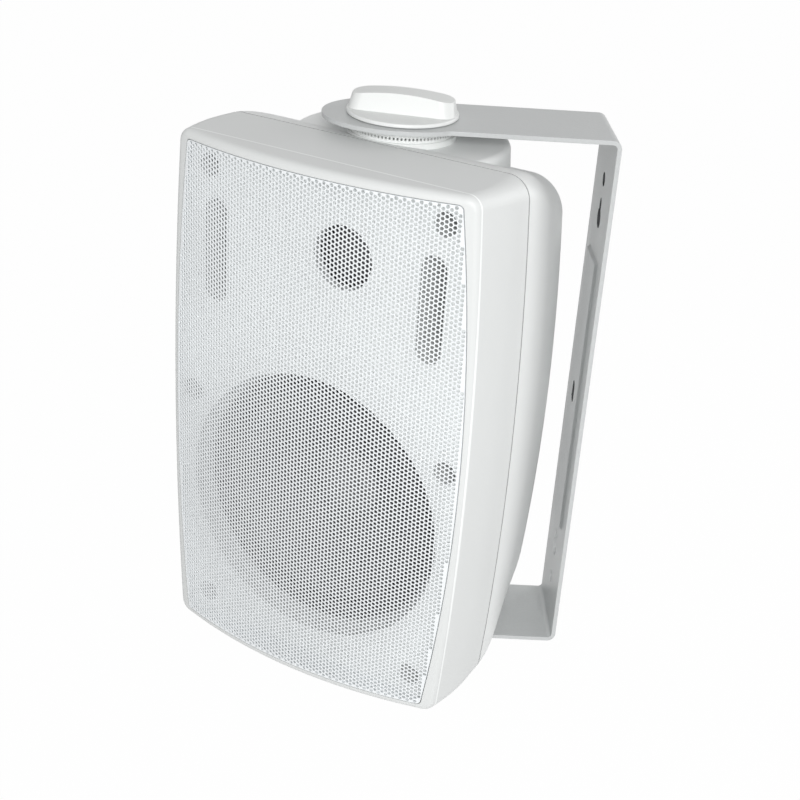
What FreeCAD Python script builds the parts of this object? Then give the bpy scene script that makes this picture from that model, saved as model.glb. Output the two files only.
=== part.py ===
"""White two-way wall speaker on a bent strip bracket that swivels about two hand knobs.

Millimetres, +Z up. The bracket's wall face lies in the plane y = 0 with the origin at its middle, and
its arms reach towards -Y. The speaker is drawn in a frame of its own, facing -Y, with the foremost line
of its grille at y = 0, and is then turned about the knob axis to the angle that it is kept at.
"""
import FreeCAD
import Part
import math
import os

from FreeCAD import Vector

# Clearances, and how close two points count as one
RUN = 0.05
SLIP = 0.2
APART = 0.3
NEAR = 1e-4

# Grille: barrel outline in front view, bent to one radius in plan, with a 60 degree stagger of openings
GRILLE_BOW = 8.0
GRILLE_HALF = 118.0
GRILLE_CORNER = 2.0
GRILLE_BEND = 236.0
GRILLE_T = 0.5
GRILLE_FOLD = 1.2
GRILLE_GAP = 0.4
OPENINGS = 12
OPENING_WEB = 3.5
GRILLE_MARGIN = 3.0

# Cabinet shells
SIDE_W = 6.5
SIDE_BOW = 5.0
SIDE_SWELL = 12.0
TOP_H = 4.0
LIP_ROUND = 3.4
FRONT_CORNER = 6.0
FRONT_DEPTH = 47.0
PART_CORNER = 10.0
PART_GROOVE_W = 0.8
PART_GROOVE_D = 0.5
REAR_DEPTH = 79.0
REAR_DRAFT_W = 12.0
REAR_ROUND_W = 13.0
REAR_DRAFT_H = 20.0
REAR_ROUND_H = 10.0
REAR_SQUARE = 3.0
REAR_CORNER_GAIN = 8.0
WALL = 3.0
BAFFLE_T = 5.0
SEAL_W = 1.2
SEAL_D = 1.0

# Housing screws in deep wells behind the grille
SCREW_R = 2.0
SCREW_HEAD_R = 3.8
SCREW_HEAD_T = 2.8
SCREW_GRIP = 16.0
WELL_R = 5.2
WELL_WALL = 1.8
WELL_FLOOR = 5.0
WELL_CLEAR = 1.0
SCREW_IN_X = 8.7
SCREW_IN_Z = 10.5
SCREW_MID_IN = 7.8

# Ports
PORT_W = 11.8
PORT_L = 47.0
PORT_IN_X = 12.2
PORT_IN_Z = 47.6
PORT_WALL = 2.2
PORT_DEPTH = 62.0

# Woofer
MOUTH_R = 61.0
MOUTH_SIDE = 12.5
MOUTH_FOOT = 16.8
MOUTH_FLARE = 3.5
MOUTH_DEPTH = 9.5
RIM_W = 8.0
LAND_W = 4.0
GASKET_T = 0.8
FRAME_T = 1.2
ROLL_R = 3.2
CONE_T = 0.8
CONE_DEPTH = 22.0
CAP_R = 17.0
CAP_RISE = 5.0
LEDGE_DROP = 28.0
LEDGE_W = 7.0
LEDGE_R = 44.0
SEAT_DROP = 8.0
COIL_R = 12.5
COIL_T = 0.7
COIL_LENGTH = 25.0
COIL_GAP = 0.5
PLATE_R = 36.0
PLATE_T = 5.0
MAGNET_R = 40.0
MAGNET_BORE = 20.0
MAGNET_T = 15.0
YOKE_T = 5.0
VENT_R = 3.5
DRIVER_SCREW_R = 1.5
DRIVER_SCREW_HEAD = 2.6
DRIVER_SCREW_GRIP = 5.0
WOOFER_SCREWS = 4
WINDOW_W = 30.0
WINDOW_COUNT = 6

# Tweeter
TWEETER_X = 10.8
TWEETER_DOWN = 35.5
TWEETER_MOUTH_R = 14.0
TWEETER_FRAME_R = 26.0
TWEETER_FRAME_T = 3.0
DOME_R = 12.6
DOME_RISE = 4.0
DOME_T = 0.4
DOME_RIM = 2.4
TWEETER_COIL_T = 0.5
TWEETER_COIL_L = 5.0
TWEETER_PLATE_R = 20.0
TWEETER_PLATE_T = 3.0
TWEETER_MAGNET_T = 7.0
TWEETER_YOKE_T = 4.0
TWEETER_SCREW_R = 1.25
TWEETER_SCREW_HEAD = 2.3
TWEETER_SCREW_GRIP = 3.0
TWEETER_SCREWS = 3
SMALL_HEAD_T = 1.6

# Crossover board on two standoffs at the back
BOARD_W = 70.0
BOARD_H = 50.0
BOARD_T = 1.6
BOARD_Z = 35.0
STANDOFF = 8.0
STANDOFF_R = 4.0
BOARD_EDGE = 6.0
INDUCTOR_R = 14.0
INDUCTOR_BORE = 6.0
INDUCTOR_H = 12.0
CAPACITOR_R = 6.0
CAPACITOR_L = 26.0
CAPACITOR_UP = 10.0
RESISTOR_L = 24.0
RESISTOR_H = 8.0

# Terminal cup with two spring levers
CUP_Z = -48.0
CUP_W = 52.0
CUP_H = 36.0
CUP_DEPTH = 16.0
CUP_WALL = 2.0
CUP_RIM = 6.0
CUP_RIM_T = 2.0
LEVER_X = 12.0
LEVER_W = 14.0
LEVER_L = 20.0
LEVER_T = 3.0
LEVER_IN = 2.0
LEVER_END = 3.0
PIN_R = 1.2
PIN_L = 1.8
CHEEK_T = 2.2
CHEEK_W = 6.0
CONTACT_W = 8.0
CONTACT_L = 10.0
CONTACT_T = 1.5

# Pivot turrets, rings, inserts and knobs
PIVOT_BACK = 27.5
TURRET_R = 48.0
TURRET_ROUND = 3.0
TURRET_DRAFT = 2.0
TURRET_DEEP = 30.0
BOSS_R = 11.0
INSERT_R = 6.0
INSERT_L = 18.0
INSERT_SUNK = 2.0
STUD_R = 4.0
STUD_IN = 22.0
RING_R = 23.2
TOOTH_BAND = 4.6
TOOTH_H = 0.5
TEETH = 48
BOSS_RING_T = 4.9
BOSS_LEDGE_W = 1.0
BOSS_LEDGE_T = 2.4
ARM_RING_T = 0.6
RING_STEP = 0.3
HUB_R = 10.0
COLLAR_R = 13.0
KNOB_R = 24.4
KNOB_BASE = 1.8
GRIP_L = 47.0
GRIP_W = 19.0
GRIP_TOP_W = 13.0
GRIP_H = 8.0
GRIP_CROWN = 120.0
KNOB_BORE_L = 8.0
GRIP_TURN = -12.0

# Bracket
STRIP_W = 46.0
STRIP_T = 2.0
BEND_R = 4.0
PADDLE_L = 35.0
PADDLE_W = 28.2
ARM_CLEAR = 4.2
WEB_CLEAR = 10.5
WALL_HOLE_R = 3.25
WALL_HOLE_IN = 21.7
KEY_IN = 39.7
KEY_HEAD_R = 4.6
KEY_NECK_R = 2.4
KEY_DROP = 7.0
SLOT_W = 6.0
SLOT_L = 11.0
PANEL_W = 26.0
PANEL_IN = 56.7
PANEL_RISE = 1.2
SWING = 58.8


def sagitta(radius, half_chord):
    """Rise of an arc over a chord of the given half length."""
    return radius - math.sqrt(radius ** 2 - half_chord ** 2)


# Places that follow from the sizes above
GRILLE_MID = MOUTH_R + MOUTH_SIDE
GRILLE_END = GRILLE_MID - GRILLE_BOW
BAFFLE_Y = sagitta(GRILLE_BEND, GRILLE_MID) + GRILLE_T + GRILLE_FOLD
BAFFLE_BACK = BAFFLE_Y + BAFFLE_T
WOOFER_FACE = BAFFLE_Y + MOUTH_DEPTH
WOOFER_Z = MOUTH_R + MOUTH_FOOT - GRILLE_HALF
FRAME_FACE = WOOFER_FACE + GASKET_T
FRAME_R = MOUTH_R + RIM_W
TWEETER_Z = GRILLE_HALF - TWEETER_DOWN
PORT_X = GRILLE_END - PORT_IN_X
PORT_Z = GRILLE_HALF - PORT_IN_Z
BACK_Y = FRONT_DEPTH + REAR_DEPTH
PART_MID = GRILLE_MID + SIDE_W
PART_END = PART_MID - SIDE_BOW
PART_HALF = GRILLE_HALF + TOP_H
TOWER_R = WELL_R + WELL_WALL
SCREW_X = GRILLE_END - SCREW_IN_X
SCREW_Z = GRILLE_HALF - SCREW_IN_Z
SCREW_MID_X = GRILLE_MID - SCREW_MID_IN
SCREW_MID_Z = WOOFER_Z + math.sqrt((FRAME_R + TOWER_R + WELL_CLEAR) ** 2 - SCREW_MID_X ** 2)
HEAD_Y = FRONT_DEPTH - WELL_FLOOR
PIVOT_Y = FRONT_DEPTH + PIVOT_BACK
ARM_Z = PART_HALF + ARM_CLEAR
TURRET_Z = ARM_Z - ARM_RING_T - BOSS_RING_T - 2 * TOOTH_H - APART
KNOB_Z = ARM_Z + STRIP_T + APART
REACH = PART_MID + WEB_CLEAR + STRIP_T

HOUSING_SCREWS = [
    (side * x, z)
    for side in (-1, 1)
    for x, z in ((SCREW_X, SCREW_Z), (SCREW_MID_X, SCREW_MID_Z), (SCREW_X, -SCREW_Z))
]


def rod(radius, y0, y1, x=0.0, z=0.0):
    """Cylinder along Y between two depths."""
    return Part.makeCylinder(radius, y1 - y0, Vector(x, y0, z), Vector(0, 1, 0))


def pillar(radius, z0, z1, x=0.0, y=0.0):
    """Cylinder along Z between two heights."""
    return Part.makeCylinder(radius, z1 - z0, Vector(x, y, z0))


def block(x, y, z):
    """Box from three (low, high) pairs."""
    return Part.makeBox(x[1] - x[0], y[1] - y[0], z[1] - z[0], Vector(x[0], y[0], z[0]))


def outline(start, *steps):
    """Closed wire in the XY plane; a step is an end point or a pair (point on the arc, end point)."""
    edges = []
    here = Vector(*start)
    for step in steps + (start,):
        if isinstance(step[0], tuple):
            end = Vector(*step[1])
            edges.append(Part.Arc(here, Vector(*step[0]), end).toShape())
        else:
            end = Vector(*step)
            if here.distanceToPoint(end) < NEAR:
                continue
            edges.append(Part.LineSegment(here, end).toShape())
        here = end
    return Part.Wire(edges)


def turned(wire, x=0.0, z=0.0):
    """Solid of revolution about a Y axis from an outline of (radius, depth) points."""
    solid = Part.Face(wire).revolve(Vector(), Vector(0, 1, 0), 360)
    solid.translate(Vector(x, 0, z))
    return solid


def spun(wire, x=0.0, y=0.0):
    """Solid of revolution about a Z axis from an outline of (radius, height) points."""
    solid = turned(wire)
    solid.rotate(Vector(), Vector(1, 0, 0), 90)
    solid.translate(Vector(x, y, 0))
    return solid


def slot_prism(width, length, y0, y1, x=0.0, z=0.0):
    """Upright slot with round ends, cut along Y."""
    r = width / 2
    run = length / 2 - r
    wire = outline((-r, -run), (r, -run), (r, run), ((0, run + r), (-r, run)))
    low = outline((r, -run), (-r, -run), ((0, -run - r), (r, -run)))
    solid = Part.Face(wire).extrude(Vector(0, 0, y0 - y1))
    solid = solid.fuse(Part.Face(low).extrude(Vector(0, 0, y0 - y1)))
    solid.rotate(Vector(), Vector(1, 0, 0), 90)
    solid.translate(Vector(x, y0, z))
    return solid.removeSplitter()


def barrel(mid, end, half, corner, y):
    """Wire at depth y: flat top and bottom, bowed sides, round corners."""
    bow = mid - end
    radius = (half ** 2 + bow ** 2) / (2 * bow)
    centre = mid - radius
    cz = half - corner
    cx = centre + math.sqrt((radius - corner) ** 2 - cz ** 2)
    lean = math.atan2(cz, cx - centre)
    sx = centre + radius * math.cos(lean)
    sz = radius * math.sin(lean)
    turn = (lean + math.pi / 2) / 2
    kx = cx + corner * math.cos(turn)
    kz = cz + corner * math.sin(turn)
    ring = outline(
        (-cx, half), (cx, half), ((kx, kz), (sx, sz)), ((mid, 0), (sx, -sz)), ((kx, -kz), (cx, -half)),
        (-cx, -half), ((-kx, -kz), (-sx, -sz)), ((-mid, 0), (-sx, sz)), ((-kx, kz), (-cx, half)))
    ring.rotate(Vector(), Vector(1, 0, 0), 90)
    ring.translate(Vector(0, y, 0))
    return ring


def barrel_prism(mid, end, half, corner, y0, y1):
    """Straight prism of a barrel outline."""
    return Part.Face(barrel(mid, end, half, corner, y0)).extrude(Vector(0, y1 - y0, 0))


def mirrored(shape):
    """Copy of an upper piece for the lower side."""
    return shape.mirror(Vector(), Vector(0, 0, 1))


def front_section(y, inset):
    """Barrel of the front shell at depth y, moved inwards by an inset; its sides swell towards the back."""
    share = y / FRONT_DEPTH
    wide = SIDE_SWELL * (1 - math.sqrt(1 - (1 - share) ** 2)) + inset
    corner = FRONT_CORNER + (PART_CORNER - FRONT_CORNER) * share ** 3
    corner = max(corner - inset, FRONT_CORNER / 2)
    return barrel(PART_MID - wide, PART_END - wide, PART_HALF - inset, corner, y)


def front_body():
    """Front shell's body, smooth through six sections, before its lip is cut to the grille's bend."""
    shares = (0, 0.1, 0.25, 0.5, 0.75, 1)
    return Part.makeLoft([front_section(share * FRONT_DEPTH, 0) for share in shares], True, False)


def rear_section(share, inset):
    """Barrel of the rear shell at a share of its depth, moved inwards by an inset."""
    curl = 1 - (1 - share ** REAR_SQUARE) ** (1 / REAR_SQUARE)
    wide = REAR_DRAFT_W * share + REAR_ROUND_W * curl + inset
    tall = REAR_DRAFT_H * share + REAR_ROUND_H * curl + inset
    corner = PART_CORNER + REAR_CORNER_GAIN * share - inset
    y = FRONT_DEPTH + share * (REAR_DEPTH - inset)
    return barrel(PART_MID - wide, PART_END - wide, PART_HALF - tall, corner, y)


def rear_body(inset):
    """Rear shell's body, smooth through five sections."""
    return Part.makeLoft([rear_section(share, inset) for share in (0, 0.4, 0.7, 0.9, 1)], True, False)


def bent_front(inset):
    """Everything behind the grille's bent surface, moved back by an inset."""
    return pillar(GRILLE_BEND - inset, -2 * PART_HALF, 2 * PART_HALF, 0, GRILLE_BEND)


def opening_places(pitch, radius):
    """Centres of the hexagons of the stagger that lie whole inside the grille's margin."""
    bow = (GRILLE_HALF ** 2 + GRILLE_BOW ** 2) / (2 * GRILLE_BOW)
    row = pitch * math.sqrt(0.75)
    top = GRILLE_HALF - GRILLE_MARGIN - radius
    places = []
    for j in range(-int(top / row), int(top / row) + 1):
        z = j * row
        side = GRILLE_MID - GRILLE_MARGIN - radius - sagitta(bow, abs(z) + radius)
        shift = pitch / 2 if j % 2 else 0
        for i in range(-OPENINGS, OPENINGS + 1):
            if abs(i * pitch + shift) <= side:
                places.append((i * pitch + shift, z))
    return places


def grille():
    """Bent sheet with hexagon openings and its edge folded back onto the baffle."""
    outer = barrel_prism(GRILLE_MID, GRILLE_END, GRILLE_HALF, GRILLE_CORNER, 0, BAFFLE_Y)
    inner = barrel_prism(GRILLE_MID - GRILLE_T, GRILLE_END - GRILLE_T, GRILLE_HALF - GRILLE_T,
                         GRILLE_CORNER - GRILLE_T, 0, 2 * BAFFLE_Y)
    pitch = 2 * (GRILLE_MID - GRILLE_MARGIN) / OPENINGS
    radius = (pitch - OPENING_WEB) / math.sqrt(3)
    corners = [math.radians(30 + 60 * k) for k in range(7)]
    hexagon = Part.makePolygon([Vector(radius * math.cos(a), 0, radius * math.sin(a)) for a in corners])
    prism = Part.Face(hexagon).extrude(Vector(0, BAFFLE_Y, 0))
    cuts = [prism.translated(Vector(x, 0, z)) for x, z in opening_places(pitch, radius)]
    sheet = outer.common(bent_front(0)).cut(inner.common(bent_front(GRILLE_T)))
    return sheet.cut(Part.makeCompound(cuts))


def front_housing():
    """Front moulding: lip, baffle, flared woofer mouth, port ducts and screw wells."""
    body = front_body().common(bent_front(0)).removeSplitter()
    rim = [e for e in body.Edges if all(on_bend(v.Point) for v in e.Vertexes)]
    body = body.makeFillet(LIP_ROUND, rim)
    pocket = barrel_prism(GRILLE_MID + GRILLE_GAP, GRILLE_END + GRILLE_GAP, GRILLE_HALF + GRILLE_GAP,
                          GRILLE_CORNER + GRILLE_GAP, 0, BAFFLE_Y)
    hollow = Part.makeLoft([front_section(BAFFLE_BACK, WALL), front_section(FRONT_DEPTH, WALL)], True, True)
    added = [rod(FRAME_R, BAFFLE_Y, WOOFER_FACE, 0, WOOFER_Z)]
    holes = [mouth_cut(), tweeter_cut()]
    for side in (-1, 1):
        x = side * PORT_X
        added.append(slot_prism(PORT_W + 2 * PORT_WALL, PORT_L + 2 * PORT_WALL, BAFFLE_Y,
                                BAFFLE_Y + PORT_DEPTH, x, PORT_Z))
        holes.append(slot_prism(PORT_W, PORT_L, 0, 2 * BACK_Y, x, PORT_Z))
    for x, z in HOUSING_SCREWS:
        added.append(rod(TOWER_R, BAFFLE_Y, FRONT_DEPTH, x, z))
        holes.append(rod(WELL_R, 0, HEAD_Y, x, z))
        holes.append(rod(SCREW_R + SLIP, 0, 2 * BACK_Y, x, z))
    for x, z in woofer_screw_places():
        holes.append(rod(DRIVER_SCREW_R + RUN, WOOFER_FACE - DRIVER_SCREW_GRIP, 2 * BACK_Y, x, z))
    for x, z in tweeter_screw_places():
        holes.append(rod(TWEETER_SCREW_R + RUN, BAFFLE_BACK - TWEETER_SCREW_GRIP, 2 * BACK_Y, x, z))
    return body.cut(pocket).cut(hollow).multiFuse(added).cut(holes).removeSplitter()


def on_bend(point):
    """Whether a point lies on the bent front surface."""
    return abs(math.hypot(point.x, point.y - GRILLE_BEND) - GRILLE_BEND) < NEAR


def mouth_cut():
    """Flared woofer mouth through the baffle and its rim."""
    return turned(outline((0, 0), (MOUTH_R + MOUTH_FLARE, 0), (MOUTH_R + MOUTH_FLARE, BAFFLE_Y),
                          (MOUTH_R, WOOFER_FACE), (MOUTH_R, BACK_Y), (0, BACK_Y)), 0, WOOFER_Z)


def tweeter_cut():
    """Round tweeter mouth through the baffle."""
    return rod(TWEETER_MOUTH_R, 0, BACK_Y, TWEETER_X, TWEETER_Z)


def ring_places(count, radius, x, z, start):
    """Points spread evenly round a circle that faces the front."""
    angles = [math.radians(start + 360 * k / count) for k in range(count)]
    return [(x + radius * math.cos(a), z + radius * math.sin(a)) for a in angles]


def woofer_screw_places():
    """Screw circle of the woofer's frame."""
    return ring_places(WOOFER_SCREWS, FRAME_R - DRIVER_SCREW_HEAD - SLIP, 0, WOOFER_Z, 180 / WOOFER_SCREWS)


def tweeter_screw_places():
    """Screw circle of the tweeter's frame."""
    radius = TWEETER_FRAME_R - TWEETER_SCREW_HEAD - SLIP
    return ring_places(TWEETER_SCREWS, radius, TWEETER_X, TWEETER_Z, 90)


def board_screw_places():
    """Two opposite corners of the crossover board."""
    x = BOARD_W / 2 - BOARD_EDGE
    z = BOARD_H / 2 - BOARD_EDGE
    return [(-x, BOARD_Z + z), (x, BOARD_Z - z)]


def cup_screw_places():
    """Screws left and right of the terminal cup's well."""
    x = CUP_W / 2 + CUP_RIM / 2
    return [(-x, CUP_Z), (x, CUP_Z)]


def turret(radius, draft, top):
    """Drafted round tower about the pivot axis with a rounded rim."""
    foot = TURRET_Z - TURRET_DEEP
    corner = TURRET_ROUND * (1 - math.sqrt(0.5))
    rim = ((radius - corner, top - corner), (radius - TURRET_ROUND, top))
    wire = outline((0, foot), (radius + draft, foot), (radius, top - TURRET_ROUND), rim, (0, top))
    return spun(wire, 0, PIVOT_Y)


def behind(y):
    """All space behind depth y."""
    return block((-2 * PART_MID, 2 * PART_MID), (y, 2 * BACK_Y), (-2 * PART_HALF, 2 * PART_HALF))


def rear_housing():
    """Rear moulding: two turrets, screw posts, standoffs and the window for the terminal cup."""
    skin = rear_body(0)
    tower = turret(TURRET_R, TURRET_DRAFT, TURRET_Z).common(behind(FRONT_DEPTH))
    hollow = turret(TURRET_R - WALL, TURRET_DRAFT, TURRET_Z - WALL).common(behind(FRONT_DEPTH + WALL))
    roof = pillar(TURRET_R, TURRET_Z - WALL, 2 * ARM_Z, 0, PIVOT_Y)
    seat_cut = pillar(RING_R + BOSS_LEDGE_W + SLIP, TURRET_Z, 2 * ARM_Z, 0, PIVOT_Y)
    boss = pillar(BOSS_R, TURRET_Z - STUD_IN - WALL, TURRET_Z - WALL / 2, 0, PIVOT_Y)
    thread = pillar(INSERT_R, TURRET_Z - STUD_IN, 2 * ARM_Z, 0, PIVOT_Y)
    body = skin.multiFuse([tower, mirrored(tower)])
    void = rear_body(WALL).cut([roof, mirrored(roof)]).multiFuse([hollow, mirrored(hollow)])
    rest = BACK_Y - WALL
    posts = [rod(TOWER_R, FRONT_DEPTH, BACK_Y, x, z).common(skin) for x, z in HOUSING_SCREWS]
    posts += [rod(STANDOFF_R, rest - STANDOFF, BACK_Y - WALL / 2, x, z) for x, z in board_screw_places()]
    posts += [boss, mirrored(boss)]
    holes = [seal(), part_groove(), thread, mirrored(thread), seat_cut, mirrored(seat_cut)]
    holes += [rod(SCREW_R + RUN, FRONT_DEPTH, FRONT_DEPTH + SCREW_GRIP + APART, x, z)
              for x, z in HOUSING_SCREWS]
    holes += [rod(TWEETER_SCREW_R + RUN, rest - STANDOFF, rest - APART, x, z)
              for x, z in board_screw_places()]
    holes += [rod(TWEETER_SCREW_R + RUN, rest - WALL, 2 * BACK_Y, x, z) for x, z in cup_screw_places()]
    holes.append(block((-CUP_W / 2 - SLIP, CUP_W / 2 + SLIP), (rest - WALL, 2 * BACK_Y),
                       (CUP_Z - CUP_H / 2 - SLIP, CUP_Z + CUP_H / 2 + SLIP)))
    return body.cut(void).multiFuse(posts).cut(holes).removeSplitter()


def seal():
    """Soft seal in the joint between the two shells."""
    edge = (WALL - SEAL_W) / 2
    outer = barrel_prism(PART_MID - edge, PART_END - edge, PART_HALF - edge, PART_CORNER - edge,
                         FRONT_DEPTH, FRONT_DEPTH + SEAL_D)
    edge += SEAL_W
    return outer.cut(barrel_prism(PART_MID - edge, PART_END - edge, PART_HALF - edge, PART_CORNER - edge,
                                  FRONT_DEPTH - SEAL_D, FRONT_DEPTH + 2 * SEAL_D))


def part_groove():
    """Fine shadow line round the joint of the two shells."""
    outer = barrel_prism(PART_MID + WALL, PART_END + WALL, PART_HALF + WALL, PART_CORNER + WALL,
                         FRONT_DEPTH, FRONT_DEPTH + PART_GROOVE_W)
    edge = PART_GROOVE_D
    return outer.cut(barrel_prism(PART_MID - edge, PART_END - edge, PART_HALF - edge, PART_CORNER - edge,
                                  0, BACK_Y))


def screw(radius, head_r, head_t, grip, face, x, z, forward=False):
    """Pan screw along Y whose head rests on a face; it grips backwards unless told forward."""
    solid = turned(outline((0, -head_t), (head_r / 2, -head_t), (head_r, -head_t / 2), (head_r, 0),
                           (radius, 0), (radius, grip), (0, grip)))
    if forward:
        solid.rotate(Vector(), Vector(1, 0, 0), 180)
    solid.translate(Vector(x, face, z))
    return solid


def housing_screws():
    """Six long screws from the wells into the rear posts."""
    return [screw(SCREW_R, SCREW_HEAD_R, SCREW_HEAD_T, WELL_FLOOR + SCREW_GRIP, HEAD_Y, x, z)
            for x, z in HOUSING_SCREWS]


def woofer():
    """Pieces of the woofer, front to back."""
    z = WOOFER_Z
    face = FRAME_FACE
    land = MOUTH_R - LAND_W
    roll_in = land - 2 * ROLL_R
    cone_r = roll_in - APART
    ledge = face + LEDGE_DROP
    seat = ledge + SEAT_DROP
    former = COIL_R + COIL_T
    neck = face + CONE_DEPTH
    pieces = {}
    shanks = [rod(DRIVER_SCREW_R + RUN, WOOFER_FACE, face + 2 * FRAME_T, sx, sz)
              for sx, sz in woofer_screw_places()]
    pieces["woofer_gasket"] = turned(outline((MOUTH_R + SLIP, WOOFER_FACE), (FRAME_R, WOOFER_FACE),
                                             (FRAME_R, face), (MOUTH_R + SLIP, face)), 0, z).cut(shanks)
    basket = turned(outline(
        (land, face), (FRAME_R, face), (FRAME_R, face + FRAME_T), (land + FRAME_T, face + FRAME_T),
        (LEDGE_R + FRAME_T, ledge + FRAME_T), (LEDGE_R - LEDGE_W + FRAME_T, ledge + FRAME_T),
        (LEDGE_R - LEDGE_W + FRAME_T, seat), (MAGNET_BORE, seat), (MAGNET_BORE, seat - FRAME_T),
        (LEDGE_R - LEDGE_W, seat - FRAME_T), (LEDGE_R - LEDGE_W, ledge), (LEDGE_R, ledge)), 0, z)
    window = block((LEDGE_R + 2 * FRAME_T, FRAME_R), (face + LEDGE_DROP / 4, ledge - FRAME_T),
                   (-WINDOW_W / 2, WINDOW_W / 2))
    cuts = []
    for k in range(WINDOW_COUNT):
        hole = window.copy()
        hole.rotate(Vector(), Vector(0, 1, 0), 360 * k / WINDOW_COUNT)
        hole.translate(Vector(0, 0, z))
        cuts.append(hole)
    pieces["woofer_frame"] = basket.cut(cuts + shanks)
    mid = land - ROLL_R
    thick = GASKET_T
    pieces["woofer_surround"] = turned(outline(
        (MOUTH_R, face), (MOUTH_R, face - thick), (land, face - thick),
        ((mid, face - thick - ROLL_R), (roll_in, face - thick)), (roll_in, face), (roll_in + thick, face),
        ((mid, face - ROLL_R + thick), (land - thick, face))), 0, z)
    lip_r = cone_r - 2 * CONE_T
    pieces["woofer_cone"] = turned(outline(
        (former, neck), (lip_r, face - CONE_T), (cone_r, face - CONE_T), (cone_r, face),
        (cone_r - CONE_T, face + CONE_T), (former, neck + 2 * CONE_T)), 0, z)
    cap_y = neck - (CONE_DEPTH + CONE_T) * (CAP_R - former) / (lip_r - former)
    pieces["woofer_cap"] = turned(outline(*cap_steps(CAP_R, CAP_RISE, CONE_T, cap_y, cap_y)), 0, z)
    pieces["woofer_coil"] = turned(outline((COIL_R, neck), (former, neck), (former, neck + COIL_LENGTH),
                                           (COIL_R, neck + COIL_LENGTH)), 0, z)
    pieces["woofer_spider"] = turned(spider_outline(former + APART, LEDGE_R - SLIP, ledge - CONE_T), 0, z)
    bore = former + COIL_GAP
    pieces["woofer_plate"] = turned(outline((bore, seat), (PLATE_R, seat), (PLATE_R, seat + PLATE_T),
                                            (bore, seat + PLATE_T)), 0, z)
    back = seat + PLATE_T + MAGNET_T
    pieces["woofer_magnet"] = turned(outline((MAGNET_BORE, seat + PLATE_T), (MAGNET_R, seat + PLATE_T),
                                             (MAGNET_R, back), (MAGNET_BORE, back)), 0, z)
    pole = COIL_R - COIL_GAP
    pieces["woofer_yoke"] = turned(outline((VENT_R, seat), (pole, seat), (pole, back), (PLATE_R, back),
                                           (PLATE_R, back + YOKE_T), (VENT_R, back + YOKE_T)), 0, z)
    grip = FRAME_T + GASKET_T + DRIVER_SCREW_GRIP - APART
    pieces["woofer_screws"] = [
        screw(DRIVER_SCREW_R, DRIVER_SCREW_HEAD, SMALL_HEAD_T, grip, face + FRAME_T, sx, sz, True)
        for sx, sz in woofer_screw_places()]
    return pieces


def cap_steps(radius, rise, thick, y, foot):
    """Outline steps of a thin dome that bulges to the front from depth y; its inside starts at the foot."""
    bend = (radius ** 2 + rise ** 2) / (2 * rise)
    centre = y - rise + bend

    def arc(r, depth):
        lean = math.acos((centre - depth) / r)
        return (r * math.sin(lean / 2), centre - r * math.cos(lean / 2)), (r * math.sin(lean), depth)

    halfway, inner_end = arc(bend - thick, foot)
    return (0, centre - bend), arc(bend, y), inner_end, (halfway, (0, centre - bend + thick))


def spider_outline(inner, outer, y):
    """Corrugated disc in section: flat outer land, three waves, thin."""
    run = outer - LEDGE_W
    waves = 3
    step = (run - inner) / (2 * waves)
    front = [(inner + k * step, y - (2 * CONE_T if k % 2 else 0)) for k in range(2 * waves + 1)]
    rear = [(r, yy + CONE_T) for r, yy in reversed(front)]
    return outline(front[0], *front[1:], (outer, y), (outer, y + CONE_T), *rear)


def tweeter():
    """Pieces of the tweeter, front to back."""
    x = TWEETER_X
    z = TWEETER_Z
    face = BAFFLE_BACK
    seat = face + TWEETER_FRAME_T
    rim = DOME_R + DOME_RIM
    back = seat + TWEETER_PLATE_T + TWEETER_MAGNET_T
    pieces = {}
    frame = turned(outline((TWEETER_MOUTH_R, face), (TWEETER_FRAME_R, face), (TWEETER_FRAME_R, seat),
                           (rim + SLIP, seat), (rim + SLIP, seat - TWEETER_FRAME_T / 3),
                           (TWEETER_MOUTH_R, seat - TWEETER_FRAME_T / 3)), x, z)
    holes = [rod(TWEETER_SCREW_R + RUN, face, seat, sx, sz) for sx, sz in tweeter_screw_places()]
    pieces["tweeter_frame"] = frame.cut(holes)
    base = seat - DOME_T
    top, shell, bottom, under = cap_steps(DOME_R, DOME_RISE, DOME_T, base, seat)
    pieces["tweeter_dome"] = turned(outline(top, shell, (rim, base), (rim, seat), bottom, under), x, z)
    coil_r = DOME_R - DOME_T
    pieces["tweeter_coil"] = turned(outline(
        (coil_r - TWEETER_COIL_T, seat), (coil_r, seat), (coil_r, seat + TWEETER_COIL_L),
        (coil_r - TWEETER_COIL_T, seat + TWEETER_COIL_L)), x, z)
    bore = coil_r + APART
    pieces["tweeter_plate"] = turned(outline(
        (bore, seat), (TWEETER_PLATE_R, seat), (TWEETER_PLATE_R, seat + TWEETER_PLATE_T),
        (bore, seat + TWEETER_PLATE_T)), x, z)
    pieces["tweeter_magnet"] = turned(outline(
        (rim, seat + TWEETER_PLATE_T), (TWEETER_PLATE_R, seat + TWEETER_PLATE_T), (TWEETER_PLATE_R, back),
        (rim, back)), x, z)
    pole = coil_r - TWEETER_COIL_T - APART
    end = back + TWEETER_YOKE_T
    pieces["tweeter_yoke"] = turned(outline((0, seat), (pole, seat), (pole, back), (TWEETER_PLATE_R, back),
                                            (TWEETER_PLATE_R, end), (0, end)), x, z)
    grip = TWEETER_FRAME_T + TWEETER_SCREW_GRIP - APART
    pieces["tweeter_screws"] = [
        screw(TWEETER_SCREW_R, TWEETER_SCREW_HEAD, SMALL_HEAD_T, grip, seat, sx, sz, True)
        for sx, sz in tweeter_screw_places()]
    return pieces


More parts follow.
